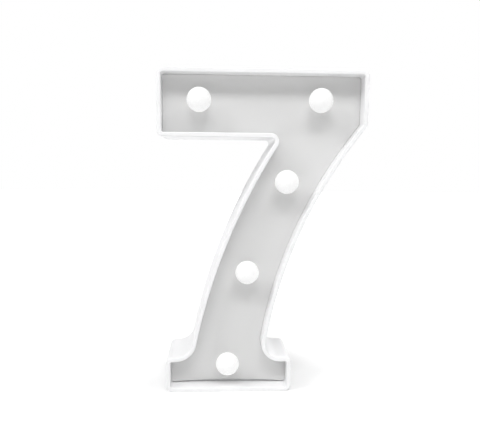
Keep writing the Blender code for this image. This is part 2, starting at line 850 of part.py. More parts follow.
def make_cover():
    """The back cover: plate, locating lip, battery bay, switch well, keyholes and screw holes."""
    mouth, slot = well_spans()
    half = bay_width / 2 + rebate
    pocket_half = tongue_width / 2 + gap
    door_opening = [
        (bay_left - rebate, bay_z - half), (bay_right + rebate, bay_z - half),
        (bay_right + rebate, bay_z - pocket_half), (pocket_right, bay_z - pocket_half),
        (pocket_right, bay_z + pocket_half), (bay_right + rebate, bay_z + pocket_half),
        (bay_right + rebate, bay_z + half), (bay_left - rebate, bay_z + half)]
    edge_inset = wall + gap
    lip_inset = edge_inset + gap
    lip_end = cover_front - lip_depth
    cover = loop_along_figure("back_cover", [
        (edge_inset, cover_back), (edge_inset, cover_front), (lip_inset, cover_front),
        (lip_inset, lip_end), (lip_inset + lip_thickness, lip_end),
        (lip_inset + lip_thickness, cover_front)], cover_white, capped=True)
    for i, place in enumerate(boss_places()):
        clearance = round_bar(
            f"lip_gap_{i + 1}", place.x, place.y, lip_end - overrun, cover_front + gap / 2,
            boss_radius + gap, boss_steps)
        cut(cover, clearance)
    openings = {"door_opening": door_opening}
    for i, place in enumerate(keyhole_places()):
        openings[f"keyhole_{i + 1}"] = keyhole(place)
    for name, outline in openings.items():
        cut(cover, slab(name, [outline], cover_front - overrun, cover_back + overrun))

    outer = bay_width / 2 + bay_wall
    tub = block("bay_tub", (bay_left - bay_wall, bay_right + bay_wall),
                (bay_front, door_inner - gap), (bay_z - outer, bay_z + outer))
    pocket = block("latch_pocket", (bay_right + bay_wall / 2, pocket_right + bay_wall),
                   (pocket_front - bay_wall, cover_front + gap),
                   (bay_z - pocket_half - bay_wall, bay_z + pocket_half + bay_wall))
    well = block("switch_well", (mouth[0][0] - bay_wall, mouth[0][1] + bay_wall),
                 (cover_back - well_depth - well_floor, cover_front + cover_thickness / 2),
                 (mouth[1][0] - bay_wall, mouth[1][1] + bay_wall))
    for piece in (tub, pocket, well):
        join(cover, piece)
    for i, place in enumerate(switch_screw_places()):
        post = round_bar(f"switch_post_{i + 1}", place.x, place.y, switch_front_face + gap,
                         cover_front + cover_thickness / 2, switch_post_radius, boss_steps)
        join(cover, post)

    channel_ends = (bay_left + gap + contact_thickness, bay_right - gap - contact_thickness)
    cut(cover, side_slab("bay_channel", bay_channel(), *channel_ends, "X"))
    for name, ends in (("bay_left_end", (bay_left, channel_ends[0] + spring_length + gap)),
                       ("bay_right_end", (channel_ends[1] - spring_length - gap, bay_right))):
        cut(cover, block(name, ends, (bay_floor, cover_back + overrun),
                         (bay_z - bay_width / 2, bay_z + bay_width / 2)))
    cut(cover, block("latch_space", (bay_right - overrun, pocket_right),
                     (pocket_front, cover_back + overrun),
                     (bay_z - pocket_half, bay_z + pocket_half)))
    heel_room = round_bar("heel_room", hinge_x, 0, -half, half, door_thickness + gap, heel_room_steps)
    heel_room.rotation_euler = Euler((0, 0, 0))
    heel_room.location = at(hinge_x, door_inner, bay_z)
    cut(cover, heel_room)
    swing = math.hypot(door_thickness + lug_reach, lug_drop + lug_thickness) + gap
    for i, (low, high) in enumerate(lug_spans()):
        cut(cover, block(f"lug_slot_{i + 1}", (bay_left - bay_wall - overrun, bay_left + overrun),
                         (door_inner - swing, door_inner + overrun), (low - gap, high + gap)))
    for side in (-1, 1):
        middle = bay_z + side * cell_pitch / 2
        cut(cover, block("tab_slot", (bay_right - 2 * gap - contact_thickness, bay_right),
                         (bay_front - overrun, bay_floor + overrun),
                         (middle - tab_width / 2 - gap, middle + tab_width / 2 + gap)))
    cut(cover, block("well_space", mouth[0], (cover_back - well_depth, cover_back + overrun), mouth[1]))
    cut(cover, block("knob_slot", slot[0], (cover_back - well_depth - well_floor - overrun, cover_back),
                     slot[1]))
    for i, place in enumerate(switch_screw_places()):
        cut(cover, round_bar(f"switch_pilot_{i + 1}", place.x, place.y, switch_front_face,
                             switch_pilot_end, switch_screw_radius + gap / 2, screw_steps))
    on_z = mouth[1][1] + mark_offset
    off_place = Vector((switch_x, mouth[1][0] - mark_offset))
    cut(cover, block("on_mark", (switch_x - mark_line / 2, switch_x + mark_line / 2),
                     (cover_back - mark_depth, cover_back + overrun),
                     (on_z - mark_height / 2, on_z + mark_height / 2)))
    ring = [circle_points(off_place, radius)
            for radius in (mark_height / 2, mark_height / 2 - mark_line)]
    cut(cover, slab("off_mark", ring, cover_back - mark_depth, cover_back + overrun))
    for i, place in enumerate(boss_places()):
        cut(cover, round_bar(f"screw_hole_{i + 1}", place.x, place.y, cover_front - overrun,
                             cover_back + overrun, screw_radius + gap, screw_steps))
        slope = (screw_head_radius - screw_radius) / screw_head_height
        seat = cover_back - gap - screw_head_height
        cut(cover, round_bar(f"countersink_{i + 1}", place.x, place.y, seat, cover_back + overrun,
                             screw_radius + gap, screw_steps,
                             back_radius=screw_head_radius + gap + slope * (gap + overrun)))


def screw_profile(shank, head, head_height, length):
    """A countersunk screw, its head at the top and its point at the bottom."""
    return [(0, 0), (head, 0), (shank, -head_height), (shank, shank - length), (0, -length)]


def make_screws():
    """The cover screws, their heads in the countersinks of the cover."""
    profile = screw_profile(screw_radius, screw_head_radius, screw_head_height, screw_length)
    mesh = turned_mesh("cover_screw", profile, screw_steps)
    for i, place in enumerate(boss_places()):
        screw = put(f"cover_screw_{i + 1}", mesh, screw_steel, smooth=True)
        screw.rotation_euler = facing_back
        screw.location = at(place.x, cover_back - gap, place.y)


def bend_points(x, depth, radius, turn):
    """Half a circle round the front of a bend: turn 1 runs from its left side to its right."""
    points = []
    for i in range(bend_steps + 1):
        a = math.pi * (1.5 + turn * (i / bend_steps - 0.5))
        points.append((x + radius * math.cos(a), depth + radius * math.sin(a)))
    return points


def make_door():
    """The battery door, hinged on two lugs at its left end, with a snap tongue at its right end."""
    low = bay_z - bay_width / 2 - rebate + gap
    high = bay_z + bay_width / 2 + rebate - gap
    section = [(door_right, door_inner), (door_right, cover_back)]
    for i in range(heel_steps + 1):
        a = math.pi / 2 * (1 + i / heel_steps)
        section.append((hinge_x + door_thickness * math.cos(a),
                        door_inner + door_thickness * math.sin(a)))
    door = side_slab("battery_door", section, low, high, "Z", door_white)

    embed = door_thickness / 4
    drop = door_inner - lug_drop
    lug_section = [
        (door_left, door_inner + embed), (door_left, drop), (door_left - lug_reach, drop),
        (door_left - lug_reach, drop - lug_thickness), (hinge_x + lug_root, drop - lug_thickness),
        (hinge_x + lug_root, door_inner + embed)]
    for i, (start, end) in enumerate(lug_spans()):
        join(door, side_slab(f"door_lug_{i + 1}", lug_section, start, end, "Z"))

    inner = tongue_bend_gap / 2
    outer = inner + tongue_thickness
    bend_x = door_right + inner
    bend_depth = door_inner - tongue_drop + outer
    section = [(bend_x - outer, door_inner + embed)]
    section += bend_points(bend_x, bend_depth, outer, 1)
    nib_low = cover_front - gap - nib_height
    section += [(tongue_right, nib_low), (tongue_right + tongue_nib, nib_low + nib_height / 2),
                (tongue_right, cover_front - gap)]
    section += [(tongue_right, cover_back), (bend_x + inner, cover_back)]
    section += bend_points(bend_x, bend_depth, inner, -1)
    section += [(bend_x - inner, door_inner + embed)]
    tongue = side_slab("door_tongue", section, bay_z - tongue_width / 2, bay_z + tongue_width / 2, "Z")
    join(door, tongue)

    for i in range(grip_count):
        x = door_right - grip_margin - i * grip_pitch
        cut(door, block(f"grip_groove_{i + 1}", (x - grip_width / 2, x + grip_width / 2),
                        (cover_back - grip_depth, cover_back + overrun),
                        (bay_z - grip_length / 2, bay_z + grip_length / 2)))
    arrow_tip = door_right - grip_margin - grip_count * grip_pitch - arrow_offset + arrow_length
    arrow = [(arrow_tip, bay_z), (arrow_tip - arrow_length, bay_z + arrow_width / 2),
             (arrow_tip - arrow_length, bay_z - arrow_width / 2)]
    cut(door, slab("open_arrow", [arrow], cover_back - mark_depth, cover_back + overrun))
    pivot = bpy.data.objects.new("door_hinge", None)
    cutters.objects.link(pivot)
    pivot.location = at(hinge_x, door_inner, bay_z)
    bpy.context.view_layer.update()
    place = door.matrix_world.copy()
    door.parent = pivot
    door.matrix_world = place


def cell_profile():
    """A cell from its nub down to its flat end, the nub's top at zero."""
    shoulder = -nub_height
    return [
        (0, 0), (nub_radius, 0), (nub_radius, shoulder), (cell_radius - cell_round, shoulder),
        (cell_radius, shoulder - cell_round), (cell_radius, cell_round - cell_length),
        (cell_radius - cell_round, -cell_length), (0, -cell_length)]


def make_cells():
    """Two cells side by side, the upper one with its nub to the left."""
    mesh = turned_mesh("cell", cell_profile(), cell_steps)
    reach = gap + contact_thickness + gap
    for i, (side, end) in enumerate(((1, bay_left + reach), (-1, bay_right - reach))):
        cell = put(f"cell_{i + 1}", mesh, cell_jacket, smooth=True)
        cell.rotation_euler = Euler((0, -side * math.pi / 2, 0))
        cell.location = at(end, cell_depth, bay_z + side * cell_pitch / 2)


def spring_points_list(plate_x, side, middle):
    """A conical coil that stands on a contact plate and narrows towards the cell."""
    count = spring_turns * spring_points
    start = gap + spring_wire
    rise = spring_length - 2 * start + gap
    points = []
    for i in range(count + 1):
        share = i / count
        radius = spring_foot_radius + (spring_tip_radius - spring_foot_radius) * share
        a = math.tau * spring_turns * share
        points.append(at(plate_x - side * (start + rise * share),
                         cell_depth + radius * math.cos(a), middle + radius * math.sin(a)))
    return points


def least_gap(points, radius, reach):
    """The least gap between a coiled wire's own stretches."""
    least = math.inf
    for i, a in enumerate(points):
        for b in points[i + reach:]:
            least = min(least, (a - b).length - 2 * radius)
    return least


def make_contacts():
    """The bridge between the cells at the left, and the two contacts with solder tabs at the right."""
    base = cell_depth - contact_height / 2
    top = cell_depth + contact_height / 2
    left_face = bay_left + gap + contact_thickness
    right_face = bay_right - gap - contact_thickness
    reach = bay_width / 2 - lug_width - 3 * gap
    block("contact_bridge", (bay_left + gap, left_face), (base, top),
          (bay_z - reach, bay_z + reach), contact_metal)
    for name, side in (("negative_contact", 1), ("positive_contact", -1)):
        near, far = bay_z + side * contact_middle_gap, bay_z + side * reach
        middle = bay_z + side * cell_pitch / 2
        plate = block(name, (right_face, bay_right - gap), (base, top),
                      (min(near, far), max(near, far)), contact_metal)
        tab = block(name + "_tab", (right_face, bay_right - gap), (bay_front - tab_reach, base + overrun),
                    (middle - tab_width / 2, middle + tab_width / 2))
        join(plate, tab)
    coils = (("bridge_spring", left_face, -1, bay_z - cell_pitch / 2),
             ("negative_spring", right_face, 1, bay_z + cell_pitch / 2))
    for name, face, side, middle in coils:
        points = spring_points_list(face, side, middle)
        tube(name, points, spring_wire, 1, contact_metal)
        clearance = least_gap(points, spring_wire, spring_points // 2)
        print(f"{name}: least gap between its turns {clearance * 1000:.2f} mm")


def switch_screw_places():
    """The middles of the screws in the ears of the switch."""
    reach = (switch_height + switch_ear) / 2
    return [Vector((switch_x, switch_z - reach)), Vector((switch_x, switch_z + reach))]


def make_switch():
    """A small slide switch behind the cover: metal frame, insulating base and knob."""
    face = switch_front_face
    half_x, half_z = switch_width / 2, switch_height / 2
    frame = block("switch_frame", (switch_x - half_x, switch_x + half_x), (face - switch_depth, face),
                  (switch_z - half_z, switch_z + half_z), switch_steel)
    ears = block("switch_ears", (switch_x - half_x, switch_x + half_x), (face - switch_metal, face),
                 (switch_z - half_z - switch_ear, switch_z + half_z + switch_ear))
    join(frame, ears)
    inside = block("switch_inside", (switch_x - half_x + switch_metal, switch_x + half_x - switch_metal),
                   (face - switch_depth - overrun, face - switch_metal),
                   (switch_z - half_z + switch_metal, switch_z + half_z - switch_metal))
    cut(frame, inside)
    _, slot = well_spans()
    cut(frame, block("frame_slot", slot[0], (face - 2 * switch_metal, face + overrun), slot[1]))
    for i, place in enumerate(switch_screw_places()):
        cut(frame, round_bar(f"ear_hole_{i + 1}", place.x, place.y, face - 2 * switch_metal,
                             face + overrun, switch_screw_radius + gap, screw_steps))

    base_back = face - switch_depth + base_thickness
    inner_x, inner_z = half_x - switch_metal - gap, half_z - switch_metal - gap
    base = block("switch_base", (switch_x - inner_x, switch_x + inner_x),
                 (face - switch_depth, base_back), (switch_z - inner_z, switch_z + inner_z), switch_black)
    for i in range(pin_count):
        z = switch_z + (i - (pin_count - 1) / 2) * pin_pitch
        join(base, block(f"switch_pin_{i + 1}", (switch_x - pin_width / 2, switch_x + pin_width / 2),
                         (face - switch_depth - pin_length, face - switch_depth + base_thickness / 2),
                         (z - pin_thickness / 2, z + pin_thickness / 2)))

    knob_z = switch_z + knob_rest
    slider_x, slider_z = inner_x, knob_height / 2 + slider_margin
    knob = block("switch_knob", (switch_x - knob_width / 2, switch_x + knob_width / 2),
                 (face - switch_metal - gap - slider_thickness / 2, cover_back - well_depth + knob_top),
                 (knob_z - knob_height / 2, knob_z + knob_height / 2), switch_black)
    slider = block("knob_slider", (switch_x - slider_x, switch_x + slider_x),
                   (face - switch_metal - gap - slider_thickness, face - switch_metal - gap),
                   (knob_z - slider_z, knob_z + slider_z))
    join(knob, slider)

    seat = face - switch_metal - gap - switch_screw_head_height
    length = switch_pilot_end - gap - seat
    profile = [
        (0, 0), (switch_screw_head_radius, 0), (switch_screw_head_radius, -switch_screw_head_height),
        (switch_screw_radius, -switch_screw_head_height), (switch_screw_radius, -length), (0, -length)]
    mesh = turned_mesh("switch_screw", profile, screw_steps)
    for i, place in enumerate(switch_screw_places()):
        screw = put(f"switch_screw_{i + 1}", mesh, screw_steel, smooth=True)
        screw.rotation_euler = facing_front
        screw.location = at(place.x, seat, place.y)


def smooth_route(stops):
    """Points on a smooth curve through a lead's own stops."""
    points = []
    for i in range(len(stops) - 1):
        a = stops[max(i - 1, 0)]
        b, c = stops[i], stops[i + 1]
        d = stops[min(i + 2, len(stops) - 1)]
        for j in range(lead_points_per_stretch):
            t = j / lead_points_per_stretch
            points.append(((b * 2) + (c - a) * t + (a * 2 - b * 5 + c * 4 - d) * t ** 2
                           + (b * 3 - a - c * 3 + d) * t ** 3) / 2)
    points.append(stops[-1])
    return points


def leg_place(index, side, depth):
    """Where a diode's leg stands: side 1 is its positive leg."""
    place = globe_places()[index] + left_of(lead_ways()[index]) * (side * leg_pitch / 2)
    return at(place.x, depth, place.y)


def make_leads():
    """The pair of leads from diode to diode, and the leads of the bay and the switch."""
    count = len(globe_places())
    for name, side, finish in (("positive_lead", 1, lead_red), ("negative_lead", -1, lead_black)):
        stops = [leg_place(0, side, lead_depth)]
        for i in range(1, count):
            start, end = globe_places()[i - 1:i + 1]
            aside = left_of((end - start).normalized()) * (side * leg_pitch / 2)
            for share in lead_hold_shares:
                held = start.lerp(end, share) + aside
                stops.append(at(held.x, lead_depth, held.y))
            stops.append(leg_place(i, side, lead_depth))
        tube(name, smooth_route(stops), lead_radius, lead_sides_resolution, finish)

    tab_end = bay_front - tab_reach
    tab_x = bay_right - gap - contact_thickness / 2
    pin_end = switch_front_face - switch_depth - pin_length
    resistor_x = switch_x + resistor_offset
    resistor_depth = pin_end
    half = resistor_length / 2 + resistor_wire_length
    clear = lead_radius + gap
    crossing = (holder_back + lead_depth) / 2
    low_z = bay_z - cell_pitch / 2
    high_z = bay_z + cell_pitch / 2
    routes = {
        "battery_positive_lead": ([
            at(tab_x, tab_end - clear, low_z), at(tab_x + 4 * clear, tab_end - clear, low_z),
            at((tab_x + switch_x) / 2, (tab_end + pin_end) / 2, low_z),
            at(switch_x - 3 * clear, pin_end - clear, switch_z),
            at(switch_x, pin_end - clear, switch_z)], lead_red),
        "switch_lead": ([
            at(switch_x, pin_end - clear, switch_z - pin_pitch),
            at(switch_x + 3 * clear, pin_end - clear, switch_z - pin_pitch),
            at(resistor_x - clear, resistor_depth, switch_z - half - 3 * clear),
            at(resistor_x, resistor_depth, switch_z - half - clear)], lead_red),
        "diode_feed_lead": ([
            at(resistor_x, resistor_depth, switch_z + half + clear),
            at(resistor_x - clear, resistor_depth, switch_z + half + 4 * clear),
            leg_place(1, 1, crossing) + Vector((6 * clear, 0, 6 * clear)),
            leg_place(1, 1, crossing) + Vector((clear, 0, clear))], lead_red),
        "battery_negative_lead": ([
            at(tab_x, tab_end - clear, high_z), at(tab_x + 3 * clear, crossing, high_z),
            leg_place(1, -1, crossing) + Vector((-5 * clear, 0, 0)),
            leg_place(1, -1, crossing) + Vector((-clear, 0, 0))], lead_black),
    }
    for name, (stops, finish) in routes.items():
        tube(name, smooth_route(stops), lead_radius, lead_sides_resolution, finish)

    wire = resistor_wire_radius
    profile = [
        (0, half), (wire, half), (wire, resistor_length / 2), (resistor_radius, resistor_length / 2),
        (resistor_radius, -resistor_length / 2), (wire, -resistor_length / 2), (wire, -half), (0, -half)]
    body = put("resistor", turned_mesh("resistor", profile, resistor_steps), resistor_tan, smooth=True)
    body.location = at(resistor_x, resistor_depth, switch_z)


make_shell()
make_panel()
make_globes()
make_cover()
make_screws()
make_door()
make_cells()
make_contacts()
make_switch()
make_leads()
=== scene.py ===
# Looks of the light up marquee numeral: a figure 7 in white moulded plastic with five globes.
#
# +Z is up and the open front faces -Y. Depths are measured from the plane of the front rim
# towards the back cover, and every length is in metres.

import math

import bmesh
import bpy
from mathutils import Matrix, Vector


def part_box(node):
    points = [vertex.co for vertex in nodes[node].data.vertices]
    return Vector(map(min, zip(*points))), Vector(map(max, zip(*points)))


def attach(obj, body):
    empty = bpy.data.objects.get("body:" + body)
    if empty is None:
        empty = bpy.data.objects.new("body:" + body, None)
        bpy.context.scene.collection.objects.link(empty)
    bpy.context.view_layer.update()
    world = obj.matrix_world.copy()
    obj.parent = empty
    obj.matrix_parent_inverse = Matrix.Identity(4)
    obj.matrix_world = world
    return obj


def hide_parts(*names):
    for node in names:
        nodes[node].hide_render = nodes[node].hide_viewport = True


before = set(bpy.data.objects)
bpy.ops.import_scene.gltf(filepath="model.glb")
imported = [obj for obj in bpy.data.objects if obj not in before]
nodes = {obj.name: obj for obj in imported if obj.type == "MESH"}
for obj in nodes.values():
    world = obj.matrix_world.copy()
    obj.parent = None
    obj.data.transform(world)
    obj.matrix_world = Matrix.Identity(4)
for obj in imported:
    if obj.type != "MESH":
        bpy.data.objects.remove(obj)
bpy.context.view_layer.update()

# Outline of the figure, seen from the front
overall_height = 0.220
bar_height = 0.0440
foot_width = 0.0876
foot_height = 0.0247
foot_step = 0.0044
leg_left_at_bar = 0.0797
leg_left_at_foot = 0.0208
leg_right_at_foot = 0.0723
right_side_height = 0.0357
leg_left_bow = 0.0080
leg_right_bow = 0.0120
corner_radius = 0.0044
turn_radius = 0.0040
notch_radius = 0.0025
bracket_left_radius = 0.0120
bracket_right_radius = 0.0100
least_radius = 0.0008
arc_steps = 56
bracket_steps = 16
corner_steps = 8

# Depths of the shell and of the panel in it
wall = 0.0029
rim_round = 0.0006
back_edge_round = 0.0003
edge_segments = 4
recess = 0.0110
panel_thickness = 0.0020
panel_edge_round = 0.00012
panel_fit = 0.00011
panel_lift = 0.0021
cover_thickness = 0.0024
ledge_width = 0.0016
ledge_thickness = 0.0016
gap = 0.0003
weld_distance = 0.000002
smooth_angle = math.radians(35)

# Globes, and the sleeves of the panel that hold them
globe_radius = 0.0080
globe_wall = 0.0010
neck_radius = 0.0045
globe_steps = 48
globe_rings = 20
sleeve_wall = 0.0012
sleeve_length = 0.0050
sleeve_steps = 40

neck_bore = 0.0035
holder_wall = 0.0010
holder_floor = 0.0015
holder_bore = 0.0021
holder_round = 0.0002

# Diodes
diode_height = 0.0086
diode_radius = 0.0025
diode_flange = 0.0010
diode_flange_radius = 0.0029
diode_round = 0.0002
diode_leg = 0.0005
diode_steps = 32
diode_rings = 8
leg_reaches = (0.56, 0.46)
leg_cups = (1.5, 1.1)
leg_lean = 0.35
bead_radius = 0.0008
bead_segments, bead_rings = 16, 10
bead_shape = (0.72, 1.7, 0.72)

# Screws
screw_shank = 0.0013
screw_head_height = 0.0012
screw_pitch = 0.0008
screw_edge = 0.00015
screw_steps = 32
screw_turns = (0.0, 0.7, 2.1, 1.2, 0.3, 1.7, 2.6)
thread_root_share = 0.74
thread_shares = (0.35, 0.60, 0.95)
screw_cross = (0.00247, 0.000585, 0.00096)
cross_floor_shares = (0.55, 1, 0.55)
small_shank = 0.0008
small_head_height = 0.0010
small_pitch = 0.0005
small_thread_shares = (0.4, 0.9)
small_cross = (0.0018, 0.00042, 0.0006)
small_turns = (0.0, 0.5)

# Cells
cell_round = 0.0006
nub_radius = 0.0027
nub_height = 0.0010
jacket_lip = 0.0062
cell_steps = 56

# Print on the cells' jackets, by its distance from the plus end
band_middle, band_half = 0.0095, 0.0050
line_middles = (0.0165, 0.0485)
minus_middle = 0.0440
stroke_half, sign_half = 0.0003, 0.0017
print_edge = 0.00006

# Knob of the switch, and the resistor
slider_thickness = 0.0010
knob_width = 0.0028
knob_height = 0.0030
knob_edge = 0.00018
ridge_cuts = 3
ridge_pitch = 0.0008
ridge_depth = 0.0003
resistor_body = 0.0062
resistor_wire = 0.0003
resistor_shape = ((0.6, 0.05), (0.9, 0.3), (1.0, 0.7), (1.0, 1.1), (0.86, 1.7))
ring_half = 0.00028

# Edges of the cover, the door and the wires
cover_edge = 0.00012
door_edge = 0.00015
lead_swell = 0.00006
spring_swell = 0.00003

# Flat faces that are filled afresh once their edges are rounded
level_share = 0.999
depth_digits = 5
least_flat_area = 0.00001

# Screw bosses
boss_radius = 0.0040
boss_steps = 32
pilot_radius = 0.00145
pilot_length = 0.0080

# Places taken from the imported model
shell_low, shell_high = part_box("shell")
cover_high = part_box("back_cover")[1]
front_y = shell_low.y
body_depth = shell_high.y - shell_low.y
left_side, right_side = shell_low.x, shell_high.x
bar_bottom = overall_height - bar_height
foot_left = left_side + foot_step
foot_right = foot_left + foot_width
panel_back = recess + panel_thickness


def middle_of(node):
    """The middle of a node's box."""
    low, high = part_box(node)
    return (low + high) / 2


def across_face(step):
    """A step without its part along the depth."""
    return Vector((step.x, 0, step.z))


backwards = Vector((0, 1, 0))
globe_places = [middle_of(f"globe_{i}") for i in range(1, 6)]
first_socket = Vector((globe_places[0].x, front_y, globe_places[0].z))
screw_places = [middle_of(f"cover_screw_{i}") for i in range(1, 8)]


# ---------------------------------------------------------------- modelling by operators


def in_edit_mode(piece):
    """Open one piece in edit mode with nothing else selected."""
    bpy.ops.object.select_all(action="DESELECT")
    bpy.context.view_layer.objects.active = piece
    piece.select_set(True)
    bpy.ops.object.mode_set(mode="EDIT")


def new_piece(name):
    """A new piece without any points, open in edit mode."""
    bpy.ops.object.select_all(action="DESELECT")
    bpy.ops.mesh.primitive_plane_add(size=gap)
    piece = bpy.context.object
    piece.name = piece.data.name = name
    bpy.ops.object.mode_set(mode="EDIT")
    take_all()
    bpy.ops.mesh.delete(type="VERT")
    return piece


def pick(kind, test):
    """Select the points, edges or faces of the open piece that pass a test, and nothing else."""
    tools = bpy.context.scene.tool_settings
    tools.mesh_select_mode = (kind == "verts", kind == "edges", kind == "faces")
    bpy.ops.mesh.select_all(action="DESELECT")
    work = bmesh.from_edit_mesh(bpy.context.object.data)
    for item in getattr(work, kind):
        if test(item):
            item.select_set(True)
    bmesh.update_edit_mesh(bpy.context.object.data)


def take_all():
    """Select all that the open piece holds."""
    bpy.ops.mesh.select_all(action="SELECT")


def weld():
    """Select all that the open piece holds and merge its doubles."""
    take_all()
    bpy.ops.mesh.remove_doubles(threshold=weld_distance)


def outwards():
    """Turn all faces of the open piece outwards."""
    take_all()
    bpy.ops.mesh.normals_make_consistent(inside=False)


def shade():
    """Shade the piece in hand smooth, apart from its sharp corners."""
    bpy.ops.object.shade_smooth_by_angle(angle=smooth_angle)


def done(piece):
    """Close a piece: weld its doubles, turn its faces outwards and shade it by angle."""
    bpy.context.scene.tool_settings.mesh_select_mode = (True, False, False)
    weld()
    outwards()
    bpy.ops.object.mode_set(mode="OBJECT")
    shade()
    return piece


def start_line(point):
    """Put the pen down: one new selected point in the open piece."""
    bpy.context.scene.tool_settings.mesh_select_mode = (True, False, False)
    bpy.ops.mesh.select_all(action="DESELECT")
    bpy.ops.mesh.primitive_plane_add(size=gap, location=point)
    bpy.ops.mesh.merge(type="CENTER")


def draw_line(step):
    """Draw a straight edge from the pen's point."""
    bpy.ops.mesh.extrude_region_move(TRANSFORM_OT_translate={"value": step})


def draw_arc(centre, turn, steps):
    """Draw an arc about a centre, counter-clockwise from the front where the turn is above zero."""
    bpy.ops.mesh.spin(steps=steps, angle=turn, center=centre, axis=(0, 1, 0))


def apply(piece, kind, **settings):
    """Put a modifier on a piece and apply it."""
    bpy.ops.object.select_all(action="DESELECT")
    bpy.context.view_layer.objects.active = piece
    piece.select_set(True)
    step = piece.modifiers.new(kind.lower(), kind)
    for name, value in settings.items():
        setattr(step, name, value)
    bpy.ops.object.modifier_apply(modifier=step.name)


def combine(piece, tool, operation):
    """Join a tool to a piece or cut it out of the piece, and throw the tool away."""
    apply(piece, "BOOLEAN", operation=operation, object=tool, solver="MANIFOLD")
    bpy.data.objects.remove(tool)


def bevel(radius, segments=edge_segments):
    """Round the selected edges."""
    bpy.ops.mesh.bevel(offset=radius, segments=segments, profile=0.5, affect="EDGES")


def repeat(places):
    """Copy what the open piece holds from the first place to each of the others."""
    take_all()
    for before, place in zip(places, places[1:]):
        bpy.ops.mesh.duplicate_move(TRANSFORM_OT_translate={"value": across_face(place - before)})


def round_bars(name, places, front, back, radius, steps):
    """Equal cylinders along the depth axis, in one piece."""
    bars = new_piece(name)
    bpy.ops.mesh.primitive_cylinder_add(
        vertices=steps, radius=radius, depth=back - front, rotation=(math.pi / 2, 0, 0),
        location=(places[0].x, front_y + (front + back) / 2, places[0].z))
    repeat(places)
    return done(bars)


# ---------------------------------------------------------------- the figure's outline


def flat(x, z):
    """A point of the outline, across and up."""
    return Vector((x, z))


def left_of(way):
    """The direction a quarter turn to the left of a direction of travel."""
    return Vector((-way.y, way.x))


def track(start, end, bow):
    """A straight or bowed track; a bow above zero bulges to the right of travel."""
    chord = end - start
    made = {"start": start, "end": end, "way": chord.normalized(), "centre": None}
    if bow:
        made["radius"] = (chord.length ** 2 / 4 + bow ** 2) / (2 * abs(bow))
        made["turn"] = math.copysign(1, bow)
        made["centre"] = (start + end) / 2 + left_of(made["way"]) * made["turn"] * (
            made["radius"] - abs(bow))
    return made


def heading(line, point):
    """The direction of travel on a track at one of its points."""
    if line["centre"] is None:
        return line["way"]
    return left_of((point - line["centre"]).normalized()) * line["turn"]


def meeting(a, b, shift, near):
    """Where two tracks meet near a corner when both are moved to their left by a shift."""
    if a["centre"] is not None:
        a, b = b, a
    start = a["start"] + left_of(a["way"]) * shift
    if b["centre"] is None:
        across = a["way"].x * b["way"].y - a["way"].y * b["way"].x
        step = b["start"] + left_of(b["way"]) * shift - start
        return start + a["way"] * ((step.x * b["way"].y - step.y * b["way"].x) / across)
    radius = b["radius"] - b["turn"] * shift
    reach = start - b["centre"]
    along = -reach.dot(a["way"])
    half = math.sqrt(along ** 2 - reach.length_squared + radius ** 2)
    places = (start + a["way"] * (along - half), start + a["way"] * (along + half))
    return min(places, key=lambda p: (p - near).length)


def foot_on(line, point, inset):
    """The nearest point to a fillet's centre on a track moved in by the inset."""
    if line["centre"] is None:
        start = line["start"] + left_of(line["way"]) * inset
        return start + line["way"] * (point - start).dot(line["way"])
    out = (point - line["centre"]).normalized()
    return line["centre"] + out * (line["radius"] - line["turn"] * inset)


def turn_between(centre, first, last, side):
    """The angle from one point to another about a centre, in the sense of the side."""
    begin = math.atan2(first.y - centre.y, first.x - centre.x)
    return (math.atan2(last.y - centre.y, last.x - centre.x) - begin) % (side * math.tau)


# Corners of the figure, counter-clockwise from the front: place, bow of the track that leaves it,
# fillet radius and steps of the fillet
figure_corners = [
    (flat(foot_left, 0), 0, corner_radius, corner_steps),
    (flat(foot_right, 0), 0, corner_radius, corner_steps),
    (flat(foot_right, foot_height), 0, corner_radius, corner_steps),
    (flat(left_side + leg_right_at_foot, foot_height), -leg_right_bow, bracket_right_radius,
     bracket_steps),
    (flat(right_side, overall_height - right_side_height), 0, turn_radius, corner_steps),
    (flat(right_side, overall_height), 0, corner_radius, corner_steps),
    (flat(left_side, overall_height), 0, corner_radius, corner_steps),
    (flat(left_side, bar_bottom), 0, corner_radius, corner_steps),
    (flat(left_side + leg_left_at_bar, bar_bottom), leg_left_bow, notch_radius, corner_steps),
    (flat(left_side + leg_left_at_foot, foot_height), 0, bracket_left_radius, bracket_steps),
    (flat(foot_left, foot_height), 0, corner_radius, corner_steps),
]
figure_tracks = [
    track(start, figure_corners[(i + 1) % len(figure_corners)][0], bow)
    for i, (start, bow, _, _) in enumerate(figure_corners)]


def draw_figure(inset, depth, lift=0.0):
    """Draw the figure's outline, moved in by an inset, into the open piece at a depth.

    A lift bows the lower edge of the foot upwards.
    """
    tracks = [track(figure_corners[0][0], figure_corners[1][0], -lift)] + figure_tracks[1:]
    fillets = []
    for i, (corner, _, radius, _) in enumerate(figure_corners):
        before, after = tracks[i - 1], tracks[i]
        way_in, way_out = heading(before, corner), heading(after, corner)
        side = math.copysign(1, way_in.x * way_out.y - way_in.y * way_out.x)
        rounded = max(radius - side * inset, least_radius)
        centre = meeting(before, after, inset + side * rounded, corner)
        first, last = foot_on(before, centre, inset), foot_on(after, centre, inset)
        fillets.append((centre, first, last, side))
    y = front_y + depth
    pen = fillets[0][1]
    start_line((pen.x, y, pen.y))
    for i, (centre, first, last, side) in enumerate(fillets):
        steps = figure_corners[i][3]
        draw_arc((centre.x, y, centre.y), turn_between(centre, first, last, side), steps)
        following = fillets[(i + 1) % len(fillets)][1]
        line = tracks[i]
        if line["centre"] is None:
            draw_line((following.x - last.x, 0, following.y - last.y))
        else:
            sweep = turn_between(line["centre"], last, following, line["turn"])
            draw_arc((line["centre"].x, y, line["centre"].y), sweep, arc_steps)


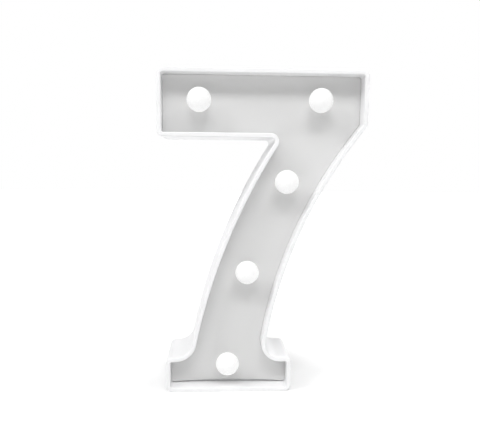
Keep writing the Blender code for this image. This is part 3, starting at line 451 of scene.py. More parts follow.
def figure_ring(name, outer, inner, front, back):
    """A ring along the figure between two insets and two depths, left open in edit mode."""
    ring = new_piece(name)
    for inset in (outer, inner):
        draw_figure(inset, front)
    weld()
    bpy.ops.mesh.bridge_edge_loops()
    take_all()
    bpy.ops.mesh.extrude_region_move(TRANSFORM_OT_translate={"value": (0, back - front, 0)})
    return ring


def figure_plate(name, inset, front, back, lift):
    """A plate of the figure's outline between two depths, left open in edit mode."""
    plate = new_piece(name)
    draw_figure(inset, front, lift)
    weld()
    bpy.ops.mesh.edge_face_add()
    bpy.ops.mesh.extrude_region_move(TRANSFORM_OT_translate={"value": (0, back - front, 0)})
    return plate


def is_border(edge, depth):
    """Whether an edge lies at a depth and turns a corner there."""
    level = all(abs(v.co.y - front_y - depth) < weld_distance for v in edge.verts)
    return level and len(edge.link_faces) == 2 and edge.calc_face_angle() > smooth_angle


def even_shading(piece):
    """Shade the piece by angle, with its wide flat faces flat beside their rounded edges."""
    shade()
    apply(piece, "WEIGHTED_NORMAL", mode="FACE_AREA", keep_sharp=True)


# ---------------------------------------------------------------- the pieces


def make_shell():
    """The wall loop with its rounded rim, the ledge behind the panel and the screw bosses."""
    shell = figure_ring("shell_moulding", 0, wall, 0, body_depth)
    outwards()
    pick("edges", lambda edge: is_border(edge, 0))
    bevel(rim_round)
    pick("edges", lambda edge: is_border(edge, body_depth))
    bevel(back_edge_round, 2)
    done(shell)
    ledge_front = panel_back + gap
    ledge = done(figure_ring("panel_ledge", wall / 2, wall + ledge_width, ledge_front,
                             ledge_front + ledge_thickness))
    combine(shell, ledge, "UNION")
    boss_end = cover_high.y - front_y - cover_thickness - gap
    bosses = round_bars("bosses", screw_places, ledge_front + ledge_thickness / 2, boss_end,
                        boss_radius, boss_steps)
    combine(shell, bosses, "UNION")
    pilots = round_bars("pilots", screw_places, boss_end - pilot_length, boss_end + gap,
                        pilot_radius, boss_steps)
    combine(shell, pilots, "DIFFERENCE")
    even_shading(shell)
    settle(shell, "housing", "shell")
    return shell


def make_panel():
    """The recessed panel with a round hole and a sleeve behind it for each globe."""
    panel = figure_plate("panel_moulding", wall + panel_fit, recess, panel_back, panel_lift)
    outwards()
    pick("edges", lambda edge: is_border(edge, recess))
    bevel(panel_edge_round, 2)
    done(panel)
    bore = neck_radius + gap
    sleeves = round_bars("sleeves", globe_places, panel_back - panel_thickness / 2,
                         panel_back + sleeve_length, bore + sleeve_wall, sleeve_steps)
    combine(panel, sleeves, "UNION")
    bores = round_bars("bores", globe_places, recess - gap, panel_back + sleeve_length + gap,
                       bore, sleeve_steps)
    combine(panel, bores, "DIFFERENCE")
    even_shading(panel)
    settle(panel, "housing", "face_panel")
    return panel


def turned(name, origin, along, stops, steps):
    """A section turned about an axis through the origin; each stop is (radius, distance along).

    A stop with three values is an arc instead: (distance of its centre along, turn, steps).
    """
    out = Vector((0, 0, 1)) if along.x else Vector((1, 0, 0))
    piece = new_piece(name)
    here = stops[0]
    start_line(origin + out * here[0] + along * here[1])
    for stop in stops[1:]:
        if len(stop) == 3:
            middle, turn, count = stop
            centre = origin + along * middle
            bpy.ops.mesh.spin(steps=count, angle=turn, center=centre, axis=out.cross(along))
            reach = complex(here[0], here[1] - middle) * complex(math.cos(turn), -math.sin(turn))
            here = (reach.real, reach.imag + middle)
        else:
            draw_line(out * (stop[0] - here[0]) + along * (stop[1] - here[1]))
            here = stop
    take_all()
    bpy.ops.mesh.spin(steps=steps, angle=math.tau, center=origin, axis=along)
    return done(piece)


def block(name, low, high, edge=None, segments=2):
    """A box between two corners, its edges rounded."""
    piece = new_piece(name)
    low, high = Vector(low), Vector(high)
    bpy.ops.mesh.primitive_cube_add(size=1, location=(low + high) / 2)
    bpy.ops.transform.resize(value=high - low, center_override=(low + high) / 2)
    if edge:
        take_all()
        bevel(edge, segments)
    return done(piece)


def twin(piece, name, move, turn=0.0, about=None):
    """A copy of a piece with its own mesh, turned about a place's depth axis and then moved."""
    made = bpy.data.objects.new(name, piece.data.copy())
    made.data.name = name
    bpy.context.scene.collection.objects.link(made)
    if turn:
        made.data.transform(
            Matrix.Translation(about) @ Matrix.Rotation(turn, 4, "Y") @ Matrix.Translation(-about))
    made.data.transform(Matrix.Translation(move))
    return made


def one_at_each(first, stem):
    """A piece of the first globe, and a copy of it for each of the others."""
    return [first] + [twin(first, f"{stem}_{i}", across_face(place - globe_places[0]))
                      for i, place in enumerate(globe_places[1:], 2)]


def welded_copy(name, node):
    """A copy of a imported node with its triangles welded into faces, open in edit mode."""
    made = bpy.data.objects.new(name, nodes[node].data.copy())
    made.data.name = name
    bpy.context.scene.collection.objects.link(made)
    in_edit_mode(made)
    bpy.context.scene.tool_settings.mesh_select_mode = (False, False, True)
    weld()
    return made


def flat_depths(piece):
    """The depths at which the piece has wide faces square to the depth axis."""
    areas = {}
    for face in piece.data.polygons:
        if abs(face.normal.y) > level_share:
            depth = round(face.center.y, depth_digits)
            areas[depth] = areas.get(depth, 0) + face.area
    return [depth for depth in sorted(areas) if areas[depth] > least_flat_area]


def fill_afresh(depth):
    """Clear the open piece's faces at a depth and fill the outlines that are left there."""
    def level(item):
        return all(abs(v.co.y - depth) < weld_distance for v in item.verts)

    pick("faces", level)
    bpy.ops.mesh.delete(type="FACE")
    pick("edges", lambda edge: len(edge.link_faces) < 2 and level(edge))
    bpy.ops.mesh.fill(use_beauty=True)


def softened(name, node, edge, segments=2):
    """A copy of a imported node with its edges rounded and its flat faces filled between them."""
    made = done(welded_copy(name, node))
    depths = flat_depths(made)
    apply(made, "BEVEL", width=edge, segments=segments, limit_method="ANGLE",
          angle_limit=smooth_angle, use_clamp_overlap=False)
    in_edit_mode(made)
    for depth in depths:
        fill_afresh(depth)
    done(made)
    even_shading(made)
    return made


def smoothed_wire(name, node, swell):
    """A copy of a packed wire, swelled a little and subdivided until it is round."""
    made = welded_copy(name, node)
    bpy.ops.transform.shrink_fatten(value=swell)
    done(made)
    apply(made, "SUBSURF", levels=2, render_levels=2)
    shade()
    return made


def settle(piece, body, node):
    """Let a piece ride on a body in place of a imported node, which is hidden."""
    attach(piece, body)
    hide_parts(node)


def make_globes():
    """The milky globes: a hollow ball on a hollow neck, each made from the first one's mesh."""
    neck_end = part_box("globe_1")[1].y - front_y
    middle = recess - globe_radius
    inner = globe_radius - globe_wall
    outer_turn = math.pi - math.asin(neck_radius / globe_radius)
    inner_turn = math.pi - math.asin(neck_bore / inner)
    stops = [
        (0, middle - globe_radius), (middle, -outer_turn, globe_rings),
        (neck_radius, neck_end), (neck_bore, neck_end),
        (neck_bore, middle + math.sqrt(inner ** 2 - neck_bore ** 2)),
        (middle, inner_turn, globe_rings),
    ]
    first = turned("globe_cap_1", first_socket, backwards, stops, globe_steps)
    made = one_at_each(first, "globe_cap")
    for i, globe in enumerate(made, 1):
        settle(globe, "housing", f"globe_{i}")
    return made


def make_holders():
    """The collars behind the panel that close each sleeve round its diode."""
    low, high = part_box("bulb_holder_1")
    outer = (high.x - low.x) / 2
    inner = outer - holder_wall
    front, back = low.y - front_y, high.y - front_y
    round_off = holder_round
    stops = [
        (inner, front + round_off), (inner + round_off, front), (outer - round_off, front),
        (outer, front + round_off), (outer, back - round_off), (outer - round_off, back),
        (holder_bore + round_off, back), (holder_bore, back - round_off),
        (holder_bore, back - holder_floor), (inner, back - holder_floor),
        (inner, front + round_off)]
    first = turned("collar_1", first_socket, backwards, stops, sleeve_steps)
    made = one_at_each(first, "collar")
    for i, holder in enumerate(made, 1):
        settle(holder, "housing", f"bulb_holder_{i}")
    return made


def leg_places(node):
    """The middles of a diode's two legs, and the depth at which they end."""
    points = [v.co for v in nodes[node].data.vertices]
    end = max(p.y for p in points)
    ends = [p for p in points if p.y > end - gap]
    first = [p for p in ends if (p - ends[0]).length < diode_leg * 2]
    second = [p for p in ends if (p - ends[0]).length >= diode_leg * 2]
    return [sum(group, Vector()) / len(group) for group in (first, second)]


def leg_turn(node):
    """The angle across the face from a diode's second leg to its first."""
    first, second = leg_places(node)
    return math.atan2(first.z - second.z, first.x - second.x)


def make_diodes():
    """The clear lenses of the diodes, and their legs with the cup and the post inside."""
    place = globe_places[0]
    flange_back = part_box("led_1")[0].y + diode_height
    origin = Vector((place.x, flange_back, place.z))
    stops = [
        (0, -diode_height), (diode_radius - diode_height, -math.pi / 2, diode_rings),
        (diode_radius, -diode_flange), (diode_flange_radius - diode_round, -diode_flange),
        (diode_flange_radius, diode_round - diode_flange), (diode_flange_radius, -diode_round),
        (diode_flange_radius - diode_round, 0), (0, 0)]
    lens = turned("diode_lens_1", origin, backwards, stops, diode_steps)
    legs = new_piece("diode_legs_1")
    for end, reach, cup in zip(leg_places("led_1"), leg_reaches, leg_cups):
        front = flange_back - diode_height * reach
        middle = Vector((end.x, (front + end.y) / 2, end.z))
        bpy.ops.mesh.primitive_cube_add(size=1, location=middle)
        size = (diode_leg, end.y - front, diode_leg)
        bpy.ops.transform.resize(value=size, center_override=middle)
        head = Vector((end.x, front, end.z)).lerp(Vector((place.x, front, place.z)), leg_lean)
        bpy.ops.mesh.primitive_cylinder_add(
            vertices=diode_steps, radius=diode_leg * cup, depth=diode_leg * 2,
            rotation=(math.pi / 2, 0, 0), location=head)
    made = [(lens, done(legs))]
    for i, other in enumerate(globe_places[1:], 2):
        move = across_face(other - place)
        turn = leg_turn("led_1") - leg_turn(f"led_{i}")
        made.append((twin(lens, f"diode_lens_{i}", move),
                     twin(legs, f"diode_legs_{i}", move, turn, place)))
    for i, (lens, legs) in enumerate(made, 1):
        settle(lens, "housing", f"led_{i}")
        settle(legs, "housing", f"led_{i}")
    return made


def thread(stops, shank, depth, pitch, end, shares):
    """Add ridges from a depth on: the root lies at all shares of the pitch but the last."""
    while depth + 2 * pitch < end:
        stops += [(shank * thread_root_share, depth + pitch * share) for share in shares[:-1]]
        stops.append((shank, depth + pitch * shares[-1]))
        depth += pitch


def screw_stops(head, length):
    """A countersunk screw from its head's top at zero: cone, thread ridges and point."""
    stops = [(0, 0), (head - screw_edge, 0), (head, screw_edge / 2), (head, screw_edge),
             (screw_shank, screw_head_height), (screw_shank, screw_head_height + screw_pitch)]
    end = length - screw_shank
    thread(stops, screw_shank, screw_head_height + screw_pitch, screw_pitch, end, thread_shares)
    return stops + [(screw_shank * thread_root_share, end), (0, length)]


def small_stops(head, length):
    """A flat-headed screw from its head's top at zero: head and thread ridges."""
    stops = [(0, 0), (head - screw_edge, 0), (head, screw_edge), (head, small_head_height),
             (small_shank, small_head_height)]
    thread(stops, small_shank, small_head_height, small_pitch, length, small_thread_shares)
    return stops + [(0, length)]


def cut_cross(screw, top, toward, width, line, depth):
    """Cut a cross recess into a screw's head, narrower at its floor."""
    for size in ((width, line), (line, width)):
        tool = new_piece("cross_tool")
        bpy.ops.mesh.primitive_cube_add(size=1, location=top)
        bpy.ops.transform.resize(value=(size[0], depth * 2, size[1]), center_override=top)
        pick("faces", lambda face: face.normal.y * toward.y > 0.5)
        bpy.ops.transform.resize(value=cross_floor_shares, center_override=top)
        combine(screw, done(tool), "DIFFERENCE")


def screw_row(stem, node, along, section, cross, turns):
    """Equal screws with a cross recess: the first is modelled, and a turned copy of it is set at
    each other place."""
    boxes = [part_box(f"{node}_{i}") for i in range(1, len(turns) + 1)]
    low, high = boxes[0]
    top = low.y if along.y > 0 else high.y
    origin = Vector(((low.x + high.x) / 2, top, (low.z + high.z) / 2))
    stops = section((high.x - low.x) / 2, high.y - low.y)
    made = [turned(f"{stem}_1", origin, along, stops, screw_steps)]
    cut_cross(made[0], origin, along, *cross)
    shade()
    for i, (low, high) in enumerate(boxes[1:], 2):
        move = across_face((low + high) / 2 - origin)
        made.append(twin(made[0], f"{stem}_{i}", move, turns[i - 1], origin))
    for i, screw in enumerate(made, 1):
        settle(screw, "housing", f"{node}_{i}")
    return made


def make_screws():
    """The cover's screws and the smaller ones of the switch."""
    return screw_row("cross_screw", "cover_screw", -backwards, screw_stops, screw_cross,
                     screw_turns) + screw_row("small_screw", "switch_screw", backwards, small_stops,
                                              small_cross, small_turns)


def make_cells():
    """The two cells, each with its raised nub, the step round it and a wrapped jacket."""
    low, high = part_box("cell_1")
    middle = (low + high) / 2
    radius = (high.z - low.z) / 2
    length = high.x - low.x
    r, s = cell_round, nub_height
    stops = [
        (0, 0), (nub_radius - r / 2, 0), (nub_radius, -r / 2), (nub_radius, -s),
        (nub_radius + r, -s - r / 3), (jacket_lip, -s - r / 3), (jacket_lip, -s),
        (radius - r, -s), (radius - r * 0.3, -s - r * 0.3), (radius, -s - r),
        (radius, r - length), (radius - r * 0.3, r * 0.3 - length), (radius - r, -length),
        (jacket_lip, -length), (jacket_lip, r / 3 - length), (0, r / 3 - length)]
    plus_end = Vector((low.x, middle.y, middle.z))
    first = turned("penlight_cell_1", plus_end, Vector((-1, 0, 0)), stops, cell_steps)
    move = across_face(middle_of("cell_2") - middle)
    second = twin(first, "penlight_cell_2", move, math.pi, middle)
    for i, cell in enumerate((first, second), 1):
        settle(cell, "housing", f"cell_{i}")
    return first, second


def make_knob():
    """The switch's knob on its slider, with ridges across its end for a finger."""
    low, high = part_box("switch_knob")
    slider_back = low.y + slider_thickness
    half = Vector((knob_width / 2, 0, knob_height / 2))
    middle = (low + high) / 2
    knob = block("knob", (middle.x - half.x, slider_back - gap, middle.z - half.z),
                 (middle.x + half.x, high.y, middle.z + half.z), knob_edge)
    slider = block("slider", low, (high.x, slider_back, high.z), knob_edge / 2)
    for i in range(ridge_cuts):
        z = middle.z + (i - (ridge_cuts - 1) / 2) * ridge_pitch
        groove = block("groove", (middle.x - knob_width, high.y - ridge_depth, z - ridge_pitch / 4),
                       (middle.x + knob_width, high.y + gap, z + ridge_pitch / 4))
        combine(knob, groove, "DIFFERENCE")
    combine(knob, slider, "UNION")
    even_shading(knob)
    settle(knob, "switch_knob", "switch_knob")
    return knob


def make_resistor():
    """The series resistor: a body with swollen ends on two straight wires."""
    low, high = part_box("resistor")
    origin = (low + high) / 2
    half = (high.z - low.z) / 2
    radius = (high.x - low.x) / 2
    b = resistor_body / 2
    end = [(resistor_wire, half), (resistor_wire, b)] + [
        (radius * out, b - radius * down) for out, down in resistor_shape]
    stops = [(0, half), *end, *((out, -up) for out, up in reversed(end)), (0, -half)]
    made = turned("series_resistor", origin, Vector((0, 0, 1)), stops, diode_steps)
    settle(made, "housing", "resistor")
    return made


def make_solder():
    """A bead of solder drawn up each diode's leg where the leg meets its lead."""
    solder = new_piece("solder_beads")
    ends = [end for i in range(1, 6) for end in leg_places(f"led_{i}")]
    bpy.ops.mesh.primitive_uv_sphere_add(
        segments=bead_segments, ring_count=bead_rings, radius=bead_radius,
        rotation=(math.pi / 2, 0, 0), location=ends[0])
    pick("verts", lambda v: v.co.y < ends[0].y)
    bpy.ops.transform.resize(value=bead_shape, center_override=ends[0])
    repeat(ends)
    done(solder)
    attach(solder, "housing")
    return solder


# ---------------------------------------------------------------- materials


def both_ways(operation):
    """A sum of a socket and a value, and the same with the value first."""
    return (lambda socket, other: socket.sum(operation, socket, other),
            lambda socket, other: socket.sum(operation, other, socket))


class Socket:
    """The output of a node, which can stand in a sum."""

    __add__, __radd__ = both_ways("ADD")
    __sub__, __rsub__ = both_ways("SUBTRACT")
    __mul__, __rmul__ = both_ways("MULTIPLY")
    __truediv__, __rtruediv__ = both_ways("DIVIDE")
    __pow__, __rpow__ = both_ways("POWER")

    def __init__(self, finish, output):
        self.finish = finish
        self.output = output

    def __abs__(self):
        return self.sum("ABSOLUTE", self, 0)

    def sum(self, operation, first, second):
        """The result of a sum of two values, as a socket."""
        return self.finish.node("ShaderNodeMath", {"operation": operation}, {0: first, 1: second})

    def or_more(self, other):
        """The greater of two values."""
        return self.sum("MAXIMUM", self, other)


class Finish:
    """A material, or the studio's world, and the nodes that paint it."""

    def __init__(self, name, kind=bpy.data.materials, shader="Principled BSDF", **constants):
        self.material = kind.new(name)
        self.material.use_nodes = True
        self.tree = self.material.node_tree
        self.shader = self.tree.nodes[shader]
        for name, value in constants.items():
            socket = name.replace("_", " ").title().replace("Ior", "IOR")
            self.shader.inputs[socket].default_value = value

    def node(self, kind, settings=None, inputs=None, output=0):
        """A node of a type: its settings are set first, then its inputs are given or linked."""
        made = self.tree.nodes.new(kind)
        for name, value in (settings or {}).items():
            setattr(made, name, value)
        for name, value in (inputs or {}).items():
            socket = made.inputs[name]
            if isinstance(value, Socket):
                self.tree.links.new(value.output, socket)
            elif isinstance(value, tuple) and len(value) == 3 and socket.type == "RGBA":
                socket.default_value = (*value, 1)
            else:
                socket.default_value = value
        return Socket(self, made.outputs[output])

    def feed(self, socket, value):
        """Link a socket of the shader."""
        self.tree.links.new(value.output, self.shader.inputs[socket])

    def place(self):
        """The point on the piece, in metres."""
        return self.node("ShaderNodeTexCoord", output="Object")

    def parts(self):
        """The point's places across, in depth and up."""
        split = self.node("ShaderNodeSeparateXYZ", None, {"Vector": self.place()})
        return [Socket(self, part) for part in split.output.node.outputs]

    def seen(self):
        """Above zero where the camera, a gloss or a clear piece sees this directly."""
        rays = [self.node("ShaderNodeLightPath", output=f"Is {ray} Ray")
                for ray in ("Camera", "Glossy", "Transmission")]
        return rays[0] + rays[1] + rays[2]

    def noise(self, scale, detail=2.0, roughness=0.5, distortion=0.0, stretch=None):
        """Noise about 0.5, of a scale in waves per metre, stretched along the axes if given."""
        at = self.place()
        if stretch:
            at = self.node("ShaderNodeMapping", None, {"Vector": at, "Scale": stretch})
        return self.node("ShaderNodeTexNoise", None, {
            "Vector": at, "Scale": scale, "Detail": detail, "Roughness": roughness,
            "Distortion": distortion}, "Fac")

    def between(self, value, low, high, to_low=0.0, to_high=1.0):
        """A value carried smoothly from one span to another."""
        return self.node("ShaderNodeMapRange", {"interpolation_type": "SMOOTHSTEP"}, {
            "Value": value, "From Min": low, "From Max": high, "To Min": to_low, "To Max": to_high})

    def blend(self, factor, first, second):
        """A colour between two colours."""
        inputs = {0: factor, 6: first, 7: second}
        return self.node("ShaderNodeMix", {"data_type": "RGBA"}, inputs, 2)

    def tone(self, colour, amount):
        """A colour made lighter or darker by an amount that varies about 1."""
        grey = self.node("ShaderNodeCombineXYZ", None, {"X": amount, "Y": amount, "Z": amount})
        return self.node("ShaderNodeVectorMath", {"operation": "MULTIPLY"}, {0: colour, 1: grey})

    def soft_edges(self, radius):
        """The surface's direction with its sharp edges rounded off."""
        return self.node("ShaderNodeBevel", {"samples": 6}, {"Radius": radius})

    def bump(self, height, distance, normal=None):
        """Relief of a height between 0 and 1, over a distance in metres."""
        inputs = {"Strength": 1.0, "Distance": distance, "Height": height}
        if normal is not None:
            inputs["Normal"] = normal
        return self.node("ShaderNodeBump", None, inputs)


def moulded_white(name, colour, roughness, grain=2600, grain_depth=0.000012, **constants):
    """White moulded plastic: a fine etched grain, faint flow marks, a cloudy tone and a few scuffs.
    """
    finish = Finish(name, **constants)
    fine = finish.noise(grain, 2.0, 0.6)
    cloud = finish.noise(38, 3.0, 0.55, 0.6)
    flow = finish.noise(60, 2.0, 0.5, 1.2, stretch=(1.0, 1.0, 0.25))
    scuffs = finish.between(finish.noise(900, 2.0, 0.7, 0.0, stretch=(0.08, 1.0, 1.0)), 0.66, 0.78)
    finish.feed("Base Color", finish.tone(
        colour, 1.0 + (cloud - 0.5) * 0.030 + (fine - 0.5) * 0.016 - scuffs * 0.012))
    finish.feed("Roughness", roughness + (flow - 0.5) * 0.10 + (fine - 0.5) * 0.10 + scuffs * 0.08)
    finish.feed("Normal", finish.bump(fine + scuffs * 0.3, grain_depth))
    return finish.material


def bare_metal(name, colour, roughness, tarnish, edge=None, brushed=(1.0, 1.0, 1.0)):
    """Plated metal: fine drawn lines, clouded roughness, a little tarnish and small scratches."""
    finish = Finish(name, metallic=1.0)
    lines = finish.noise(2400, 2.0, 0.6, 0.0, brushed)
    cloud = finish.noise(260, 3.0, 0.6, 0.4)
    spots = finish.between(finish.noise(1500, 2.0, 0.5), 0.60, 0.72)
    dull = finish.between(cloud, 0.42, 0.70)
    finish.feed("Base Color", finish.tone(
        finish.blend(dull * 0.55 + spots * 0.2, colour, tarnish), 1.0 + (lines - 0.5) * 0.12))
    finish.feed("Roughness", roughness + dull * 0.14 + (lines - 0.5) * 0.16 + spots * 0.08)
    finish.feed("Normal", finish.bump(lines, 0.000006, finish.soft_edges(edge) if edge else None))
    return finish.material


def insulation(name, colour):
    """The soft plastic of a lead: drawn streaks along it, a dull bloom and specks of dust."""
    finish = Finish(name, ior=1.5)
    streaks = finish.noise(900, 2.0, 0.6)
    bloom = finish.between(finish.noise(140, 3.0, 0.6), 0.45, 0.75)
    dust = finish.between(finish.noise(5200, 1.0, 0.5), 0.70, 0.78)
    pale = tuple(min(1.0, c * 0.6 + 0.14) for c in colour)
    finish.feed("Base Color", finish.blend(bloom * 0.22 + dust * 0.35, colour, pale))
    finish.feed("Roughness", 0.34 + bloom * 0.16 + (streaks - 0.5) * 0.12 + dust * 0.2)
    finish.feed("Normal", finish.bump(streaks, 0.00001))
    return finish.material


def dark_plastic(name, colour, edge):
    """Black glass-filled plastic: short pale fibres, fine grain and rubbed edges."""
    finish = Finish(name)
    fibres = finish.between(finish.noise(3200, 1.0, 0.5, 0.0, (1.0, 0.12, 1.0)), 0.66, 0.76)
    grain = finish.noise(5200, 2.0, 0.6)
    cloud = finish.noise(420, 2.0, 0.5)
    pale = (0.16, 0.16, 0.165)
    finish.feed("Base Color", finish.blend(fibres * 0.35 + cloud * 0.10, colour, pale))
    finish.feed("Roughness", 0.40 + (grain - 0.5) * 0.18 + fibres * 0.12)
    finish.feed("Normal", finish.bump(grain, 0.000012, finish.soft_edges(edge)))
    return finish.material


def clear_epoxy():
    """The faintly yellow clear resin of a diode, with a soft haze of fine bubbles."""
    finish = Finish("clear_resin", ior=1.54, transmission_weight=1.0)
    haze = finish.noise(900, 3.0, 0.6)
    bubbles = finish.between(finish.noise(6200, 1.0, 0.5), 0.70, 0.80)
    finish.feed("Base Color", finish.blend(
        haze * 0.5 + bubbles * 0.4, (0.97, 0.95, 0.84), (0.90, 0.86, 0.66)))
    finish.feed("Roughness", 0.04 + haze * 0.06 + bubbles * 0.2)
    finish.feed("Normal", finish.bump(haze, 0.000006))
    return finish.material


def cell_wrapper(name, node, side):
    """A cell's jacket with a pale band and its signs, and bare steel at both ends."""
    low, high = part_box(node)
    middle = (low + high) / 2
    radius = (high.z - low.z) / 2
    plus_end = low.x if side < 0 else high.x
    finish = Finish(name)
    x, y, z = finish.parts()
    up, back = z - middle.z, y - middle.y
    reach = (up * up + back * back) ** 0.5
    inward = (plus_end - x) * side
    jacket = finish.between(reach, jacket_lip - 0.0001, jacket_lip)
    turn = up.sum("ARCTAN2", up, back) * radius

    def stripe(value, half):
        """Within a half width of zero, with a crisp edge."""
        return finish.between(abs(value), half, half + print_edge, 1.0, 0.0)

    grain = finish.noise(2600, 2.0, 0.6)
    cloud = finish.noise(120, 3.0, 0.6)
    creases = finish.between(finish.noise(420, 2.0, 0.6, 0.8, (0.25, 1.0, 1.0)), 0.60, 0.78)
    band = stripe(inward - band_middle, band_half)
    lines = stripe(inward - line_middles[0], stroke_half).or_more(
        stripe(inward - line_middles[1], stroke_half))
    across = stripe(inward - band_middle, sign_half) * stripe(turn, stroke_half)
    upright = stripe(inward - band_middle, stroke_half) * stripe(turn, sign_half)
    minus = stripe(inward - minus_middle, stroke_half) * stripe(turn, sign_half)
    signs = across.or_more(upright).or_more(minus)
    ink = finish.blend(cloud * 0.25, (0.050, 0.085, 0.125), (0.075, 0.115, 0.160))
    printed = finish.blend(band, ink, (0.50, 0.54, 0.56))
    printed = finish.blend(lines, printed, (0.62, 0.65, 0.66))
    sign_tone = finish.blend(band, (0.70, 0.72, 0.72), (0.045, 0.075, 0.110))
    printed = finish.blend(signs, printed, sign_tone)
    dull = finish.between(cloud, 0.4, 0.7) * 0.5
    steel = finish.blend(dull, (0.72, 0.71, 0.69), (0.56, 0.54, 0.50))
    finish.feed("Base Color", finish.tone(
        finish.blend(jacket, steel, printed), 1.0 + (grain - 0.5) * 0.06))
    finish.feed("Metallic", 1.0 - jacket)
    finish.feed("Roughness", 0.30 + (grain - 0.5) * 0.12 + creases * 0.08
                + (1.0 - jacket) * cloud * 0.1)
    finish.feed("Normal", finish.bump(creases * jacket * 0.6 + grain * 0.12, 0.00003))
    return finish.material


def banded_resistor():
    """Tan lacquer with four colour rings, and tinned wire at both ends."""
    low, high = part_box("resistor")
    middle = (low + high) / 2
    finish = Finish("tan_lacquer")
    up = finish.parts()[2] - middle.z
    grain = finish.noise(3600, 2.0, 0.6)
    cloud = finish.noise(700, 2.0, 0.5)
    colour = finish.blend(cloud * 0.5, (0.62, 0.47, 0.28), (0.70, 0.57, 0.38))
    rings = ((-0.0021, (0.16, 0.06, 0.03)), (-0.0010, (0.02, 0.02, 0.02)),
             (0.0001, (0.16, 0.06, 0.03)), (0.0020, (0.55, 0.38, 0.10)))
    for at, ink in rings:
        ring = finish.between(abs(up - at), ring_half, ring_half + print_edge, 1.0, 0.0)
        colour = finish.blend(ring, colour, ink)
    ends = finish.between(abs(up), resistor_body / 2 - print_edge, resistor_body / 2)
    colour = finish.blend(ends, colour, (0.66, 0.64, 0.62))
    finish.feed("Base Color", finish.tone(colour, 1.0 + (grain - 0.5) * 0.08))
    finish.feed("Metallic", ends)
    finish.feed("Roughness", 0.36 + (grain - 0.5) * 0.14)
    finish.feed("Normal", finish.bump(grain, 0.000008))
    return finish.material


def dress(piece, material):
    """Give a piece one material."""
    piece.data.materials.clear()
    piece.data.materials.append(material)


shell_gloss = moulded_white("shell_gloss", (0.875, 0.875, 0.881), 0.36)
# The panel is painted darker than the shell's white: painted shade of its recess.
panel_satin_painted_shade = moulded_white("panel_satin_painted_shade", (0.68, 0.68, 0.677), 0.55, 1800, 0.00002)
# The globes' emission is painted light: a glow that brightens and evens their shading.
globe_milk_painted_glow = moulded_white("globe_milk_painted_glow", (0.5, 0.5, 0.497), 0.28, 1200, 0.000004,
                            emission_color=(1, 1, 1, 1), emission_strength=0.45)
cover_matt = moulded_white("cover_matt", (0.82, 0.82, 0.825), 0.48, 1800, 0.00002)
door_matt = moulded_white("door_matt", (0.82, 0.82, 0.825), 0.46, 1800, 0.00002)
holder_nylon = moulded_white("holder_nylon", (0.78, 0.78, 0.75), 0.50, 2600, 0.000012)
nickel = bare_metal("contact_nickel", (0.78, 0.76, 0.71), 0.24, (0.60, 0.54, 0.44), 0.00008,
                    (0.2, 1.0, 1.0))
spring_nickel = bare_metal("spring_nickel", (0.76, 0.75, 0.72), 0.22, (0.58, 0.54, 0.48))
solder_tin = bare_metal("solder_tin", (0.74, 0.74, 0.74), 0.30, (0.60, 0.60, 0.60))
pressed_steel = bare_metal("pressed_steel", (0.70, 0.70, 0.69), 0.28, (0.55, 0.54, 0.52), 0.00010,
                           (1.0, 1.0, 0.15))
screw_zinc = bare_metal("screw_zinc", (0.66, 0.66, 0.66), 0.30, (0.50, 0.50, 0.49))
black_nylon = dark_plastic("black_nylon", (0.022, 0.022, 0.023), 0.00010)
red_sleeving = insulation("red_sleeving", (0.50, 0.035, 0.025))
black_sleeving = insulation("black_sleeving", (0.022, 0.022, 0.024))

dress(make_shell(), shell_gloss)
dress(make_panel(), panel_satin_painted_shade)
for globe in make_globes():
    dress(globe, globe_milk_painted_glow)
for holder in make_holders():
    dress(holder, holder_nylon)
clear_resin = clear_epoxy()
for lens, legs in make_diodes():
    dress(lens, clear_resin)
    dress(legs, solder_tin)
dress(make_solder(), solder_tin)
for screw in make_screws():
    dress(screw, screw_zinc)
for cell, node, side in zip(make_cells(), ("cell_1", "cell_2"), (-1, 1)):
    dress(cell, cell_wrapper(f"jacket_{node}", node, side))
dress(make_knob(), black_nylon)
dress(make_resistor(), banded_resistor())

cover = softened("cover_moulding", "back_cover", cover_edge)
settle(cover, "housing", "back_cover")
dress(cover, cover_matt)
door = softened("door_moulding", "battery_door", door_edge)
settle(door, "battery_door", "battery_door")
dress(door, door_matt)
wires = {
    "bridge_spring": ("bridge_coil", spring_nickel, "contact_metal"),
    "negative_spring": ("negative_coil", spring_nickel, "contact_metal"),
    "positive_lead": ("positive_wire", red_sleeving, "lead_red"),
    "negative_lead": ("negative_wire", black_sleeving, "lead_black"),
    "battery_positive_lead": ("battery_positive_wire", red_sleeving, "lead_red"),
    "battery_negative_lead": ("battery_negative_wire", black_sleeving, "lead_black"),
    "switch_lead": ("switch_wire", red_sleeving, "lead_red"),
    "diode_feed_lead": ("diode_feed_wire", red_sleeving, "lead_red"),
}
for node, (name, material, slot) in wires.items():
    wire = smoothed_wire(name, node, spring_swell if "spring" in node else lead_swell)
    settle(wire, "housing", node)
    dress(wire, material)
for node in ("contact_bridge", "negative_contact", "positive_contact"):
    dress(nodes[node], nickel)
dress(nodes["switch_frame"], pressed_steel)
dress(nodes["switch_base"], black_nylon)


# ---------------------------------------------------------------- floor, light and camera

floor_size = 6.0
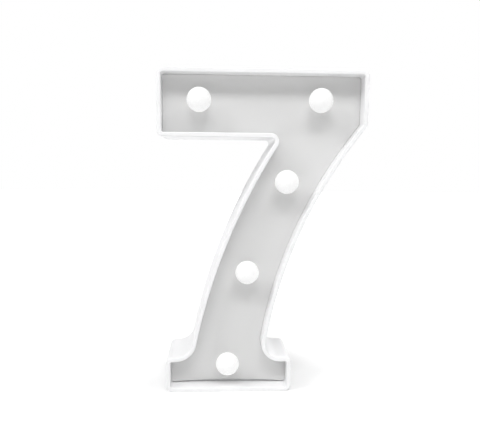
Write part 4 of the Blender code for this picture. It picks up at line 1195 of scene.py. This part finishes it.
# Painted light on the floor, seen only by the camera and glosses: faint at the foot, stronger
# beside it where it lightens the numeral's shadow, full far off.
glow_at_foot, glow_beside, glow_far = 0.04, 0.29, 1.0
foot_reach, beside_starts, far_starts, far_ends = 0.05, 0.1, 0.3, 2.2
ambient = 0.30
lamp_distance = 2.0
lamps = {
    "front_lamp": {"power": 18.5, "size": (1.3, 0.42), "way": (0, -1.0, 1.35)},
    "left_lamp": {"power": 15.0, "size": (0.8, 0.8), "way": (-1.0, -0.5, 1.1)},
    "right_lamp": {"power": 6.5, "size": (0.8, 0.8), "way": (1.0, -0.5, 1.1)},
    "back_lamp": {"power": 6.7, "size": (0.8, 0.8), "way": (0.7, 1.0, 0.45)},
}
object_middle = Vector((0, 0, 0.12))

camera_place = Vector((-0.0316, -0.38814, 0.1574))
camera_yaw, camera_pitch, camera_roll = 0.0467, 0.1518, 0.0095
camera_lens = 41.25
camera_shift_y = 0.0698


def make_floor():
    """A white floor with a painted glow, faint at the foot and rising away from it, which lightens
    the numeral's shadow beside the foot.
    """
    bpy.ops.object.select_all(action="DESELECT")
    bpy.ops.mesh.primitive_plane_add(size=floor_size)
    floor = bpy.context.object
    floor.name = "floor"
    finish = Finish("floor_white", base_color=(0.92, 0.92, 0.92, 1), roughness=0.9,
                    emission_strength=1.0)
    step = finish.node("ShaderNodeVectorMath", {"operation": "SUBTRACT"}, {
        0: finish.place(), 1: ((foot_left + foot_right) / 2, 0, 0)})
    away = finish.node("ShaderNodeVectorMath", {"operation": "LENGTH"}, {0: step}, "Value")
    near = finish.between(away, foot_reach, beside_starts, glow_at_foot, glow_beside)
    far = finish.between(away, far_starts, far_ends, 0, glow_far - glow_beside)
    glow = finish.between(finish.seen(), 0, 1) * (near + far)
    finish.feed("Emission Color", finish.blend(glow, (0.0, 0.0, 0.0), (1.0, 1.0, 1.0)))
    dress(floor, finish.material)


def make_world():
    """An even pale light from all round, white where the camera or a gloss sees it."""
    studio = Finish("studio", bpy.data.worlds, "Background", color=(1, 1, 1, 1))
    studio.feed("Strength", studio.between(studio.seen(), 0, 1, ambient, 1.0))
    bpy.context.scene.world = studio.material


def make_lamp(name, power, size, way):
    """A soft rectangular lamp that looks at the middle of the numeral."""
    light = bpy.data.lights.new(name, "AREA")
    light.shape = "RECTANGLE"
    light.energy = power
    light.size, light.size_y = size
    lamp = bpy.data.objects.new(name, light)
    bpy.context.scene.collection.objects.link(lamp)
    away = Vector(way).normalized()
    lamp.location = object_middle + away * lamp_distance
    lamp.rotation_euler = away.to_track_quat("Z", "Y").to_euler()


def make_camera():
    """The camera at the photograph's place."""
    lens = bpy.data.cameras.new("camera")
    lens.lens = camera_lens
    lens.shift_y = camera_shift_y
    lens.clip_start = 0.01
    camera = bpy.data.objects.new("camera", lens)
    bpy.context.scene.collection.objects.link(camera)
    across = Vector((math.cos(camera_yaw), -math.sin(camera_yaw), 0))
    forward = Vector((math.cos(camera_pitch) * math.sin(camera_yaw),
                      math.cos(camera_pitch) * math.cos(camera_yaw), -math.sin(camera_pitch)))
    down = forward.cross(across)
    right = math.cos(camera_roll) * across - math.sin(camera_roll) * down
    low = math.sin(camera_roll) * across + math.cos(camera_roll) * down
    turn = Matrix((right, -low, -forward)).transposed().to_4x4()
    camera.matrix_world = Matrix.Translation(camera_place) @ turn
    bpy.context.scene.camera = camera


make_floor()
make_world()
for name, lamp in lamps.items():
    make_lamp(name, **lamp)
make_camera()
bpy.context.scene.view_settings.view_transform = "Standard"
